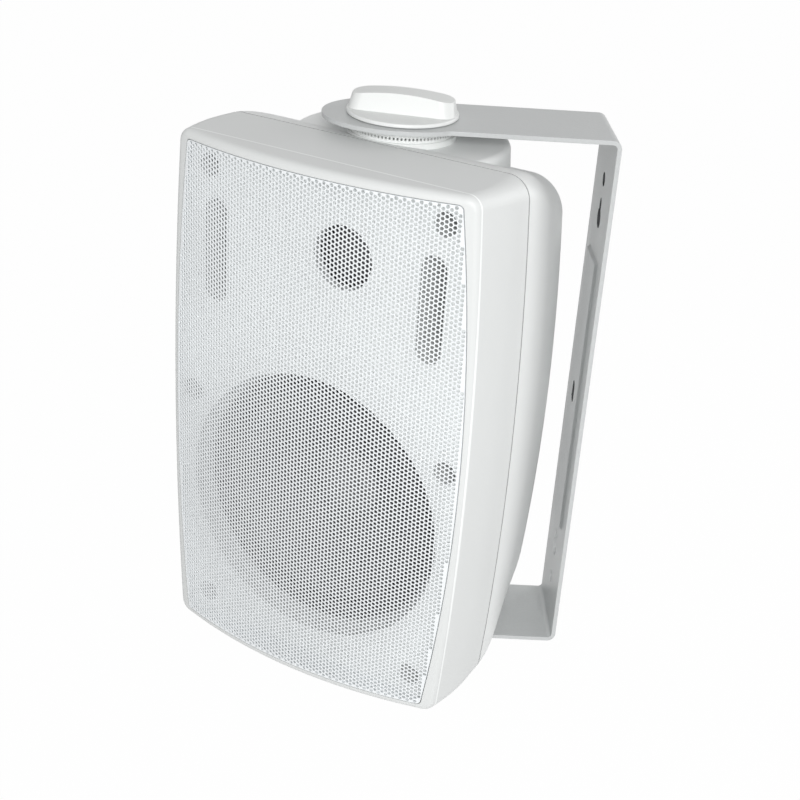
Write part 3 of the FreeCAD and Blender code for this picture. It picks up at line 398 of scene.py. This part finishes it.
class Bench:
    """Modelling steps on one piece at a time."""

    weld: ClassVar[float] = 0.004
    flat: ClassVar[float] = 0.5
    face_weight: ClassVar[int] = 100

    @staticmethod
    def close() -> None:
        """Leave edit mode."""
        bpy.ops.object.mode_set(mode="OBJECT")

    @staticmethod
    def clear() -> None:
        """Leave edit mode with nothing selected."""
        if bpy.context.object is not None and bpy.context.object.mode != "OBJECT":
            Bench.close()
        bpy.ops.object.select_all(action="DESELECT")

    @staticmethod
    def take(piece: bpy.types.Object) -> None:
        """Select one piece and make it active."""
        Bench.clear()
        piece.select_set(True)
        bpy.context.view_layer.objects.active = piece

    @staticmethod
    def edit(piece: bpy.types.Object) -> None:
        """Open a piece in edit mode with all of it selected."""
        Bench.take(piece)
        bpy.ops.object.mode_set(mode="EDIT")
        bpy.ops.mesh.select_all(action="SELECT")

    @staticmethod
    def pick(piece: bpy.types.Object, what: str, chosen: list[bool]) -> None:
        """Open a piece in edit mode with only some of its parts selected.

        Args:
            piece: the piece.
            what: VERT, EDGE or FACE.
            chosen: one flag for each corner, edge or face.
        """
        Bench.edit(piece)
        bpy.ops.mesh.select_mode(type=what)
        bpy.ops.mesh.select_all(action="DESELECT")
        Bench.close()
        parts = {"VERT": piece.data.vertices, "EDGE": piece.data.edges, "FACE": piece.data.polygons}[what]
        parts.foreach_set("select", chosen)
        bpy.ops.object.mode_set(mode="EDIT")

    @staticmethod
    def apply(piece: bpy.types.Object, kind: str, **settings: object) -> None:
        """Add a modifier to a piece and apply it.

        Args:
            piece: the piece.
            kind: type of the modifier.
            settings: properties of the modifier.
        """
        Bench.take(piece)
        modifier = piece.modifiers.new(kind.lower(), kind)
        for key, value in settings.items():
            setattr(modifier, key, value)
        bpy.ops.object.modifier_apply(modifier=modifier.name)

    @staticmethod
    def twin(piece: bpy.types.Object) -> bpy.types.Object:
        """Copy of a piece, with its own mesh."""
        Bench.take(piece)
        bpy.ops.object.duplicate()
        return bpy.context.object

    @staticmethod
    def join(piece: bpy.types.Object, other: bpy.types.Object) -> None:
        """Make another piece a part of this one."""
        Bench.take(piece)
        other.select_set(True)
        bpy.ops.object.join()

    @staticmethod
    def carve(piece: bpy.types.Object, tool: bpy.types.Object, operation: str) -> None:
        """Join, cut or intersect a piece with a tool piece, which is used up."""
        Bench.apply(piece, "BOOLEAN", object=tool, operation=operation, solver="EXACT")
        bpy.data.objects.remove(tool)

    @staticmethod
    def smooth(piece: bpy.types.Object, degrees: float) -> None:
        """Shade a piece smooth, with edges sharper than an angle left sharp."""
        Bench.take(piece)
        bpy.ops.object.shade_smooth_by_angle(angle=math.radians(degrees))

    @staticmethod
    def soften(piece: bpy.types.Object, degrees: float) -> None:
        """Shade a piece smooth, with its broad flat faces kept flat."""
        Bench.smooth(piece, degrees)
        Bench.apply(piece, "WEIGHTED_NORMAL", weight=Bench.face_weight, keep_sharp=True)

    @staticmethod
    def settle(piece: bpy.types.Object, place: Matrix) -> None:
        """Put a piece in its place and apply it, so that the object stays at the origin."""
        Bench.take(piece)
        piece.matrix_world = place @ piece.matrix_world
        bpy.ops.object.transform_apply(location=True, rotation=True, scale=True)

    @staticmethod
    def outwards(piece: bpy.types.Object) -> None:
        """Merge doubles and turn every face outwards."""
        Bench.edit(piece)
        bpy.ops.mesh.remove_doubles(threshold=Bench.weld * MM)
        bpy.ops.mesh.normals_make_consistent(inside=False)
        Bench.close()

    @staticmethod
    def copy_node(node: str, name: str) -> bpy.types.Object:
        """Copy of a CAD node with its corners merged and its flat faces made whole.

        Args:
            node: name of the CAD node.
            name: name of the copy.

        Returns:
            The copy, a piece of its own.
        """
        piece = bpy.data.objects.new(name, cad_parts[node].data.copy())
        piece.data.name = name
        bpy.context.scene.collection.objects.link(piece)
        Bench.outwards(piece)
        Bench.edit(piece)
        bpy.ops.mesh.dissolve_limited(angle_limit=math.radians(Bench.flat))
        Bench.close()
        return piece

    @staticmethod
    def lathe(name: str, rings: list[tuple[float, float]], sides: int) -> bpy.types.Object:
        """Turn a solid about the Z axis, ring after ring, and close its two ends.

        Args:
            name: name of the piece.
            rings: radius and height of each ring, in millimetres.
            sides: corners of each ring.

        Returns:
            The closed piece.
        """
        Bench.clear()
        bpy.ops.mesh.primitive_circle_add(vertices=sides, radius=rings[0][0] * MM, fill_type="NGON",
                                          location=(0, 0, rings[0][1] * MM))
        piece = bpy.context.object
        piece.name = piece.data.name = name
        Bench.edit(piece)
        for (before, low), (after, high) in zip(rings, rings[1:]):
            bpy.ops.mesh.extrude_region_move(TRANSFORM_OT_translate={"value": (0, 0, (high - low) * MM)})
            grow = after / before
            bpy.ops.transform.resize(value=(grow, grow, 1), center_override=(0, 0, high * MM))
        Bench.close()
        Bench.take(piece)
        bpy.ops.object.transform_apply(location=True, rotation=True, scale=True)
        Bench.outwards(piece)
        return piece


@dataclass
class Grille:
    """Perforated steel sheet, bent in plan, with its edge folded back onto the baffle."""

    wardrobe: Wardrobe
    mid: float = 73.5
    end: float = 65.5
    half: float = 118.0
    corner: float = 2.0
    bend: float = 236.0
    sheet: float = 0.5
    fold_y: float = BAFFLE_Y
    fold_t: float = 0.1
    pitch: float = 2.0
    hole: float = 0.87
    margin: float = 0.12
    spare: float = 4.0
    edge_step: float = 1.9
    corner_steps: int = 6
    junction_reach: float = 0.65
    weld: float = 0.02
    sharp: float = 40.0

    @property
    def column(self) -> float:
        """Distance from one column of holes to the next."""
        return self.pitch * math.sqrt(3) / 2

    def cell(self) -> bpy.types.Object:
        """Web round one six-sided hole, up to the holes above and to the right of it.

        Returns:
            A flat piece in the XY plane, one hole wide.
        """
        Bench.clear()
        bpy.ops.mesh.primitive_circle_add(vertices=6, radius=self.hole, rotation=(0, 0, math.pi / 6))
        piece = bpy.context.object
        bpy.ops.object.transform_apply(location=True, rotation=True, scale=True)
        bridge = self.pitch - 2 * self.hole * math.cos(math.pi / 6)
        for turn in (90, 30, -30):
            aim = heading(turn)
            ends = [[piece.data.vertices[v].co for v in edge.vertices] for edge in piece.data.edges]
            spots = [(a + b) / 2 for a, b in ends]
            flats = [s.length < self.hole and s.normalized().dot(aim) > FACING for s in spots]
            Bench.pick(piece, "EDGE", flats)
            bpy.ops.mesh.extrude_region_move(TRANSFORM_OT_translate={"value": bridge * aim})
            Bench.close()
        for turn in (60, 0):
            junction = heading(turn) * self.pitch / math.sqrt(3)
            reach = self.junction_reach * bridge
            Bench.pick(piece, "VERT", [(v.co - junction).length < reach for v in piece.data.vertices])
            bpy.ops.mesh.edge_face_add()
            Bench.close()
        return piece

    def lattice(self) -> bpy.types.Object:
        """Web of the whole sheet, with every hole that fits inside its outline.

        Returns:
            A flat piece in the XY plane, with a ragged border.
        """
        piece = self.cell()
        twin = Bench.twin(piece)
        Bench.settle(twin, Matrix.Translation((self.column, self.pitch / 2, 0)))
        Bench.join(piece, twin)
        wide = 2 * math.ceil((self.mid + self.spare) / (2 * self.column))
        tall = 2 * math.ceil((self.half + self.spare / 2) / self.pitch)
        for count, stride in ((wide, (2 * self.column, 0, 0)), (tall, (0, self.pitch, 0))):
            Bench.apply(piece, "ARRAY", count=count, use_relative_offset=False, use_constant_offset=True,
                        constant_offset_displace=stride)
        Bench.settle(piece, Matrix.Translation((-wide * self.column, -tall * self.pitch / 2, 0)))
        Bench.edit(piece)
        bpy.ops.mesh.remove_doubles(threshold=self.weld)
        Bench.close()
        Bench.pick(piece, "VERT", [not self.inside(self.hole_of(v.co)) for v in piece.data.vertices])
        bpy.ops.mesh.delete(type="VERT")
        Bench.close()
        return piece

    def hole_of(self, point: Vector) -> tuple[int, int]:
        """Number of the column, and of the half pitch up it, of the hole that a corner belongs to."""
        best = (0, 0)
        nearest = self.pitch
        first = math.floor(point.x / self.column)
        for c in (first - 1, first, first + 1, first + 2):
            odd = c % 2
            row = 2 * round((point.y / (self.pitch / 2) - odd) / 2) + odd
            gap = math.hypot(point.x - c * self.column, point.y - row * self.pitch / 2)
            if gap < nearest:
                nearest = gap
                best = (c, row)
        return best

    def inside(self, hole: tuple[int, int]) -> bool:
        """Whether a whole hole and its margin fit inside the outline."""
        x = abs(hole[0]) * self.column
        z = abs(hole[1]) * self.pitch / 2
        room = self.hole + self.margin
        half = self.half - room
        side = self.unrolled(self.side_x(z)) - room
        if z > half or x > side:
            return False
        reach = self.corner - room
        cx = self.unrolled(self.side_x(half)) - room - reach
        cz = half - reach
        if x > cx and z > cz:
            return math.hypot(x - cx, z - cz) <= max(reach, 0.0)
        return True

    def side_x(self, z: float) -> float:
        """Half width of the sheet at a height."""
        bow = self.mid - self.end
        radius = (self.half ** 2 + bow ** 2) / (2 * bow)
        return self.mid - radius + math.sqrt(radius ** 2 - z ** 2)

    def unrolled(self, x: float) -> float:
        """Length along the sheet from its middle to a place x across."""
        return self.bend * math.asin(x / self.bend)

    def border(self) -> list[tuple[float, float]]:
        """Outline of the flat sheet as evenly spread points, anticlockwise.

        Returns:
            Points (along the sheet, up), in millimetres.
        """
        c = self.corner
        top_x = self.side_x(self.half - c) - c
        quarter = []
        for k in range(int((self.half - c) / self.edge_step) + 1):
            z = min(k * self.edge_step, self.half - c)
            quarter.append((self.side_x(z), z))
        for k in range(1, self.corner_steps + 1):
            turn = math.pi / 2 * k / self.corner_steps
            quarter.append((top_x + c * math.cos(turn), self.half - c + c * math.sin(turn)))
        steps = int(top_x / self.edge_step)
        quarter += [(top_x * (1 - k / steps), self.half) for k in range(1, steps)]
        quarter = [(self.unrolled(x), z) for x, z in quarter]
        right = quarter + [(0.0, self.half)]
        left = [(-x, z) for x, z in reversed(quarter)]
        upper = right + left
        lower = [(x, -z) for x, z in reversed(upper[1:-1])]
        return upper + lower

    def flat_sheet(self) -> bpy.types.Object:
        """Perforated sheet before bending: the web, and a plain border up to the outline.

        Returns:
            A flat piece in the XY plane, in millimetres.
        """
        web = self.lattice()
        points = self.border()
        Bench.clear()
        bpy.ops.mesh.primitive_circle_add(vertices=len(points), radius=self.half)
        rim = bpy.context.object
        for vertex, point in zip(rim.data.vertices, points):
            vertex.co = (*point, 0)
        Bench.join(web, rim)
        mesh = web.data
        used: dict[tuple[int, int], int] = {}
        for face in mesh.polygons:
            for key in face.edge_keys:
                used[key] = used.get(key, 0) + 1
        holes = [self.hole_of(v.co) if self.inside(self.hole_of(v.co)) else None for v in mesh.vertices]
        first_rim = len(mesh.vertices) - len(points)
        chosen = []
        # Beside a missing hole, an edge of a hole has no bridge and the side of a bridge has no junction.
        for edge in mesh.edges:
            a, b = edge.vertices
            faces = used.get(tuple(sorted((a, b))), 0)
            chosen.append(min(a, b) >= first_rim or faces == (0 if holes[a] == holes[b] else 1))
        Bench.pick(web, "EDGE", chosen)
        bpy.ops.mesh.fill(use_beauty=True)
        Bench.close()
        return web

    def bent(self, along: float, up: float, depth: float) -> Vector:
        """Place at a depth behind the face of the bent sheet, in the speaker's frame."""
        turn = along / self.bend
        reach = self.bend - depth
        return Vector((reach * math.sin(turn), self.bend - reach * math.cos(turn), up))

    def bent_sheet(self) -> bpy.types.Object:
        """Sheet bent to its radius, facing forward.

        Returns:
            The sheet without thickness, in millimetres, in the speaker's frame.
        """
        piece = self.flat_sheet()
        for vertex in piece.data.vertices:
            vertex.co = self.bent(vertex.co.x, vertex.co.y, 0)
        Bench.outwards(piece)
        if piece.data.polygons[0].normal.y > 0:
            Bench.edit(piece)
            bpy.ops.mesh.flip_normals()
            Bench.close()
        return piece

    def fold(self) -> bpy.types.Object:
        """Folded edge, from the back of the sheet to the baffle.

        Returns:
            The fold without thickness, in millimetres, in the speaker's frame.
        """
        points = self.border()
        Bench.clear()
        bpy.ops.mesh.primitive_circle_add(vertices=len(points), radius=self.half)
        piece = bpy.context.object
        for vertex, (along, up) in zip(piece.data.vertices, points):
            vertex.co = self.bent(along, up, self.sheet)
        Bench.edit(piece)
        bpy.ops.mesh.extrude_edges_move()
        Bench.close()
        for vertex in piece.data.vertices:
            if vertex.select:
                vertex.co.y = self.fold_y
        Bench.outwards(piece)
        return piece

    @staticmethod
    def halves(piece: bpy.types.Object, thickness: float) -> list[bpy.types.Object]:
        """Cut a surface in two at mid height, and thicken both parts inward.

        Args:
            piece: the surface.
            thickness: thickness in the surface's own unit.

        Returns:
            The upper and the lower part.
        """
        Bench.pick(piece, "FACE", [face.center.z > 0 for face in piece.data.polygons])
        bpy.ops.mesh.separate(type="SELECTED")
        Bench.close()
        upper = [o for o in bpy.context.selected_objects if o is not piece][0]
        for part in (upper, piece):
            Bench.apply(part, "SOLIDIFY", thickness=thickness, offset=-1, use_even_offset=True)
        return [upper, piece]

    def build(self) -> list[bpy.types.Object]:
        """Make the sheet and its fold, as an upper and a lower half to keep each mesh light.

        Returns:
            The two halves.
        """
        sheets = self.halves(self.bent_sheet(), self.sheet)
        folds = self.halves(self.fold(), self.fold_t)
        for half, fold, name in zip(sheets, folds, ("grille_upper", "grille_lower")):
            Bench.join(half, fold)
            half.name = half.data.name = name
            Bench.settle(half, TO_FRAME @ Matrix.Scale(MM, 4))
            Bench.smooth(half, self.sharp)
            self.wardrobe.dress(half, WHITE_GRILLE)
            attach(half, "speaker")
        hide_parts("grille")
        return sheets


@dataclass
class Bracket:
    """Bent strip with softened edges, and painted shade on the walls of its upper punched holes."""

    wardrobe: Wardrobe
    edge: float = 0.3
    edge_steps: int = 2
    hole_reach: float = 8.0
    hole_top: float = 110.0
    # Hole walls above this height, up to hole_top, get painted shade.
    shade_from: float = -40.0
    web_y: float = -4.0
    wall_lean: float = 0.3
    sharp: float = 50.0

    def build(self) -> bpy.types.Object:
        """Soften a copy of the strip and dress it.

        Returns:
            The strip.
        """
        piece = Bench.copy_node("bracket", "bracket_strip")
        Bench.apply(piece, "BEVEL", width=self.edge * MM, segments=self.edge_steps, limit_method="ANGLE",
                    angle_limit=math.radians(self.sharp), use_clamp_overlap=True)
        Bench.soften(piece, self.sharp)
        self.wardrobe.dress(piece, WHITE_STEEL)
        piece.data.materials.append(self.wardrobe.get(HOLE_SHADE_PAINT))
        # Walls of the upper holes in the web get painted shade; the walls of the lower holes keep the white
        # coat.
        for face in piece.data.polygons:
            spot = face.center / MM
            in_web = abs(spot.x) < self.hole_reach and spot.y > self.web_y
            shaded_wall = in_web and self.shade_from < spot.z < self.hole_top
            face.material_index = int(shaded_wall and abs(face.normal.y) < self.wall_lean)
        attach(piece, "bracket")
        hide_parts("bracket")
        return piece


@dataclass
class Knob:
    """Hand knob: thin round base with a soft-edged, crowned bar grip on it."""

    wardrobe: Wardrobe
    side: Side
    radius: float = 24.4
    base: float = 1.8
    grip_l: float = 47.0
    grip_w: float = 19.0
    grip_top_l: float = 43.5
    grip_top_w: float = 13.0
    grip_h: float = 8.0
    crown: float = 120.0
    end_round: float = 5.5
    end_steps: int = 8
    soft: float = 1.2
    soft_steps: int = 4
    stud: float = 4.0
    bore: float = 8.0
    bore_over: float = 1.0
    seat: float = 128.5
    turn: float = 19.2
    foot_bevel: float = 0.3
    rim_round: float = 0.7
    rim_mid: tuple[float, float] = (0.2, 0.25)
    sides: int = 96
    crown_sides: int = 512
    bore_sides: int = 48
    sharp: float = 40.0

    def grip(self) -> bpy.types.Object:
        """Bar with drafted sides, round ends and a crowned top.

        Returns:
            A closed piece on the Z axis, in metres.
        """
        low = self.base / 2
        high = self.base + self.grip_h
        Bench.clear()
        bpy.ops.mesh.primitive_cube_add(size=1, location=(0, 0, (low + high) / 2 * MM),
                                        scale=(self.grip_l * MM, self.grip_w * MM, (high - low) * MM))
        bar = bpy.context.object
        Bench.settle(bar, Matrix())
        Bench.pick(bar, "FACE", [face.normal.z > FACING for face in bar.data.polygons])
        bpy.ops.transform.resize(value=(self.grip_top_l / self.grip_l, self.grip_top_w / self.grip_w, 1),
                                 center_override=(0, 0, high * MM))
        Bench.close()
        ends = [[bar.data.vertices[v].co.z for v in edge.vertices] for edge in bar.data.edges]
        Bench.pick(bar, "EDGE", [abs(a - b) > self.grip_h / 2 * MM for a, b in ends])
        bpy.ops.mesh.bevel(offset=self.end_round * MM, segments=self.end_steps)
        Bench.close()
        rings = [(self.crown, -self.radius), (self.crown, self.radius)]
        crown = Bench.lathe("crown", rings, self.crown_sides)
        Bench.settle(crown, Matrix.Translation((0, 0, (high - self.crown) * MM))
                     @ Matrix.Rotation(math.pi / 2, 4, "X"))
        Bench.carve(bar, crown, "INTERSECT")
        Bench.outwards(bar)
        Bench.apply(bar, "BEVEL", width=self.soft * MM, segments=self.soft_steps, limit_method="ANGLE",
                    angle_limit=math.radians(self.sharp), use_clamp_overlap=True)
        return bar

    def build(self) -> bpy.types.Object:
        """Join grip and base, bore them for the stud, and put them in their place.

        Returns:
            The knob.
        """
        r = self.radius
        name = f"{self.side.name.lower()}_knob"
        rings = [(r - self.foot_bevel, 0), (r, self.foot_bevel), (r, self.base - self.rim_round),
                 (r - self.rim_mid[0], self.base - self.rim_mid[1]), (r - self.rim_round, self.base)]
        piece = Bench.lathe(f"{self.side.name.lower()}_hand_knob", rings, self.sides)
        Bench.carve(piece, self.grip(), "UNION")
        drill = Bench.lathe("bore", [(self.stud, -self.bore_over), (self.stud, self.bore)], self.bore_sides)
        Bench.carve(piece, drill, "DIFFERENCE")
        flip = Matrix.Scale(self.side.value, 4, (0, 0, 1))
        Bench.settle(piece, TO_FRAME @ flip @ Matrix.Translation((0, PIVOT_Y * MM, self.seat * MM))
                     @ Matrix.Rotation(math.radians(self.turn), 4, "Z"))
        Bench.outwards(piece)
        Bench.soften(piece, self.sharp)
        self.wardrobe.dress(piece, WHITE_CLAMP)
        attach(piece, name)
        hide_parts(name)
        return piece


class Half(Enum):
    """The two toothed rings of a clamp, with the body that each belongs to."""

    BOSS = "speaker"
    ARM = "bracket"


@dataclass
class ToothedRing:
    """One of the two rings whose teeth hold the speaker at its angle."""

    wardrobe: Wardrobe
    side: Side
    half: Half
    teeth: int = 87
    radius: float = 23.2
    inner: float = 18.6
    ledge_r: float = 24.2
    ledge: float = 2.4
    hub_r: float = 10.0
    collar_r: float = 13.0
    bore_r: float = 4.2
    turret: float = 119.4
    arm: float = 126.2
    strip: float = 2.0
    step: float = 0.3
    play: float = 0.05
    joint: float = 123.4
    tooth: float = 0.5
    chamfer: float = 0.3
    sector_lean: float = 0.25
    level_slack: float = 0.01
    bore_sides: int = 64
    sharp: float = 30.0

    def blank(self) -> tuple[bpy.types.Object, float]:
        """Turned ring before its teeth.

        Returns:
            The ring on the Z axis, and the height that its teeth stand on.
        """
        r = self.radius
        if self.half is Half.BOSS:
            foot = self.joint - self.play - self.tooth
            top = self.turret + self.ledge
            hub = self.arm + self.strip - self.step
            rings = [(self.ledge_r, self.turret), (self.ledge_r, top - self.chamfer),
                     (self.ledge_r - self.chamfer, top), (r, top), (r, foot), (self.inner, foot),
                     (self.hub_r, foot), (self.hub_r, hub)]
            bore = self.bore_r
        else:
            foot = self.joint + self.play + self.tooth
            rings = [(self.collar_r, self.arm + self.strip), (self.collar_r, self.arm), (r, self.arm),
                     (r, foot), (self.inner, foot), (self.inner, self.arm - self.step)]
            bore = self.hub_r + self.play
        piece = Bench.lathe(f"{self.side.name.lower()}_{self.half.name.lower()}_teeth", rings, 2 * self.teeth)
        drill = Bench.lathe("bore", [(bore, 0), (bore, 2 * self.arm)], self.bore_sides)
        Bench.carve(piece, drill, "DIFFERENCE")
        return piece, foot

    def build(self) -> bpy.types.Object:
        """Raise every second face of the ring as a tooth and put the ring in its place.

        Returns:
            The ring.
        """
        piece, foot = self.blank()
        rise = self.tooth if self.half is Half.BOSS else -self.tooth
        chosen = []
        for face in piece.data.polygons:
            x, y, z = face.center / MM
            sector = math.floor(math.atan2(y, x) * self.teeth / math.pi + self.sector_lean)
            flat = face.normal.z * rise > FACING * self.tooth and abs(z - foot) < self.level_slack
            chosen.append(flat and math.hypot(x, y) > self.inner and sector % 2 == 0)
        Bench.pick(piece, "FACE", chosen)
        bpy.ops.mesh.extrude_region_move(TRANSFORM_OT_translate={"value": (0, 0, rise * MM)})
        Bench.close()
        flip = Matrix.Scale(self.side.value, 4, (0, 0, 1))
        Bench.settle(piece, TO_FRAME @ flip @ Matrix.Translation((0, PIVOT_Y * MM, 0)))
        Bench.outwards(piece)
        Bench.soften(piece, self.sharp)
        self.wardrobe.dress(piece, WHITE_CLAMP)
        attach(piece, self.half.value)
        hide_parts(f"{self.side.name.lower()}_{self.half.name.lower()}_ring")
        return piece


@dataclass
class TerminalScrews:
    """Two cross-headed screws that hold the terminal cup to the back."""

    wardrobe: Wardrobe
    across: float = 29.0
    face_y: float = 128.0
    up: float = -48.0
    shank: float = 1.25
    head: float = 2.3
    head_t: float = 1.6
    grip: float = 5.0
    blade: float = 0.6
    blade_l: float = 2.8
    recess: float = 1.0
    tip_r: float = 0.4
    tip_l: float = 0.6
    dome: tuple[tuple[float, float], ...] = ((1.0, 0.0), (1.0, 0.3), (0.93, 0.6), (0.74, 0.88), (0.4, 1.0))
    turns: tuple[float, float] = (0.4, 1.1)
    sides: int = 40
    sharp: float = 30.0

    def screw(self) -> bpy.types.Object:
        """One pan-headed screw with a cross recess, on the Z axis.

        Returns:
            The screw, its head's seat at z = 0.
        """
        rings = [(self.tip_r * self.shank, -self.grip), (self.shank, self.tip_l - self.grip), (self.shank, 0)]
        rings += [(wide * self.head, high * self.head_t) for wide, high in self.dome]
        piece = Bench.lathe("terminal_screw_pair", rings, self.sides)
        for turn in (0, math.pi / 2):
            Bench.clear()
            bpy.ops.mesh.primitive_cube_add(size=MM, location=(0, 0, self.head_t * MM), rotation=(0, 0, turn),
                                            scale=(self.blade_l, self.blade, 2 * self.recess))
            Bench.carve(piece, bpy.context.object, "DIFFERENCE")
        return piece

    def build(self) -> bpy.types.Object:
        """Put both screws in their place as one piece.

        Returns:
            The pair.
        """
        piece = self.screw()
        twin = Bench.twin(piece)
        for screw, x, turn in zip((piece, twin), (-self.across, self.across), self.turns):
            Bench.settle(screw, TO_FRAME @ Matrix.Translation(Vector((x, self.face_y, self.up)) * MM)
                         @ Matrix.Rotation(-math.pi / 2, 4, "X") @ Matrix.Rotation(turn, 4, "Z"))
        Bench.join(piece, twin)
        Bench.outwards(piece)
        Bench.soften(piece, self.sharp)
        self.wardrobe.dress(piece, ZINC)
        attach(piece, "speaker")
        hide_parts("terminal_screws")
        return piece


@dataclass(frozen=True)
class Lamp:
    """One soft lamp, aimed at the middle of the speaker."""

    name: str
    come_from: tuple[float, float, float]
    distance: float
    size: float
    power: float


@dataclass
class Studio:
    """Camera, lamps, floor and white ground."""

    lens: float = 63.01
    eye: tuple[float, float, float] = (292.479, -444.81, 286.319)
    right: tuple[float, float, float] = (0.8601, 0.50608, 0.06402)
    up: tuple[float, float, float] = (-0.27524, 0.35474, 0.89354)
    back: tuple[float, float, float] = (0.42949, -0.78616, 0.4444)
    middle: tuple[float, float, float] = (0.0, 50.0, 0.0)
    clip_start: float = 0.01
    floor_z: float = -0.42
    floor_size: float = 12.0
    floor_cells: int = 8
    floor_white: tuple[float, float, float] = (0.8, 0.8, 0.8)
    floor_rough: float = 0.9
    floor_glow: float = 0.985
    ambient: float = 0.37
    lamps: tuple[Lamp, ...] = (
        Lamp("key", (0.5, -0.765, 0.415), 1.3, 0.5, 12.1),
        Lamp("rear_fill", (0.55, 0.8, 0.25), 1.4, 0.8, 5.2),
    )

    def camera(self) -> None:
        """Camera where the photograph was taken from."""
        data = bpy.data.cameras.new("camera")
        data.lens = self.lens
        data.clip_start = self.clip_start
        camera = bpy.data.objects.new("camera", data)
        bpy.context.scene.collection.objects.link(camera)
        turn = Matrix((self.right, self.up, self.back)).transposed().to_4x4()
        camera.matrix_world = TO_FRAME @ Matrix.Translation(Vector(self.eye) * MM) @ turn
        bpy.context.scene.camera = camera

    def light(self) -> None:
        """Large soft lamps round the speaker."""
        centre = Vector(self.middle) * MM
        for lamp in self.lamps:
            data = bpy.data.lights.new(lamp.name, "AREA")
            data.energy = lamp.power
            data.size = lamp.size
            piece = bpy.data.objects.new(lamp.name, data)
            bpy.context.scene.collection.objects.link(piece)
            aim = Vector(lamp.come_from).normalized()
            turn = aim.to_track_quat("Z", "Y").to_matrix().to_4x4()
            piece.matrix_world = TO_FRAME @ Matrix.Translation(centre + aim * lamp.distance) @ turn

    @staticmethod
    def seen(tree: bpy.types.NodeTree) -> bpy.types.NodeSocket:
        """Socket that is 1 where the camera, a reflection or glass looks."""
        path = tree.nodes.new("ShaderNodeLightPath")
        total = path.outputs["Is Camera Ray"]
        for name in ("Is Glossy Ray", "Is Transmission Ray"):
            add = tree.nodes.new("ShaderNodeMath")
            add.operation = "MAXIMUM"
            tree.links.new(total, add.inputs[0])
            tree.links.new(path.outputs[name], add.inputs[1])
            total = add.outputs[0]
        return total

    def world(self) -> None:
        """White all round to the eye, and a plain soft light on the pieces."""
        world = bpy.data.worlds.new("studio")
        bpy.context.scene.world = world
        world.use_nodes = True
        tree = world.node_tree
        glow = tree.nodes["Background"]
        glow.inputs["Color"].default_value = (1, 1, 1, 1)
        span = tree.nodes.new("ShaderNodeMapRange")
        span.inputs["To Min"].default_value = self.ambient
        span.inputs["To Max"].default_value = 1.0
        tree.links.new(self.seen(tree), span.inputs["Value"])
        tree.links.new(span.outputs[0], glow.inputs["Strength"])

    def floor(self) -> None:
        """Pale floor that keeps a faint shadow."""
        Bench.clear()
        bpy.ops.mesh.primitive_grid_add(x_subdivisions=self.floor_cells, y_subdivisions=self.floor_cells,
                                        size=self.floor_size, location=(0, 0, self.floor_z))
        floor = bpy.context.object
        floor.name = "floor"
        paint = Paint("floor_white")
        paint.shader.inputs["Base Color"].default_value = (*self.floor_white, 1)
        paint.shader.inputs["Roughness"].default_value = self.floor_rough
        shine = paint.tree.nodes.new("ShaderNodeEmission")
        mix = paint.tree.nodes.new("ShaderNodeMixShader")
        paint.feed(mix.inputs[0], Wire(paint, self.seen(paint.tree)) * self.floor_glow)
        paint.tree.links.new(paint.shader.outputs[0], mix.inputs[1])
        paint.tree.links.new(shine.outputs[0], mix.inputs[2])
        paint.tree.links.new(mix.outputs[0], paint.tree.nodes["Material Output"].inputs["Surface"])
        floor.data.materials.append(paint.material)

    def build(self) -> None:
        """Set up the whole studio."""
        bpy.context.scene.view_settings.view_transform = "Standard"
        self.camera()
        self.light()
        self.world()
        self.floor()


def main() -> None:
    """Dress the solids, build the fine pieces and set up the studio."""
    logging.basicConfig(level=logging.INFO, format="%(name)s: %(message)s")
    wardrobe = Wardrobe()
    wardrobe.dress_nodes()
    LOG.info("dressed %d solids", len(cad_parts))
    pieces = [*Grille(wardrobe).build(), Bracket(wardrobe).build(), TerminalScrews(wardrobe).build()]
    for side in Side:
        pieces.append(Knob(wardrobe, side).build())
        pieces += [ToothedRing(wardrobe, side, half).build() for half in Half]
    for piece in pieces:
        LOG.info("%s: %d faces", piece.name, len(piece.data.polygons))
    Studio().build()


if __name__ == "__main__":
    main()
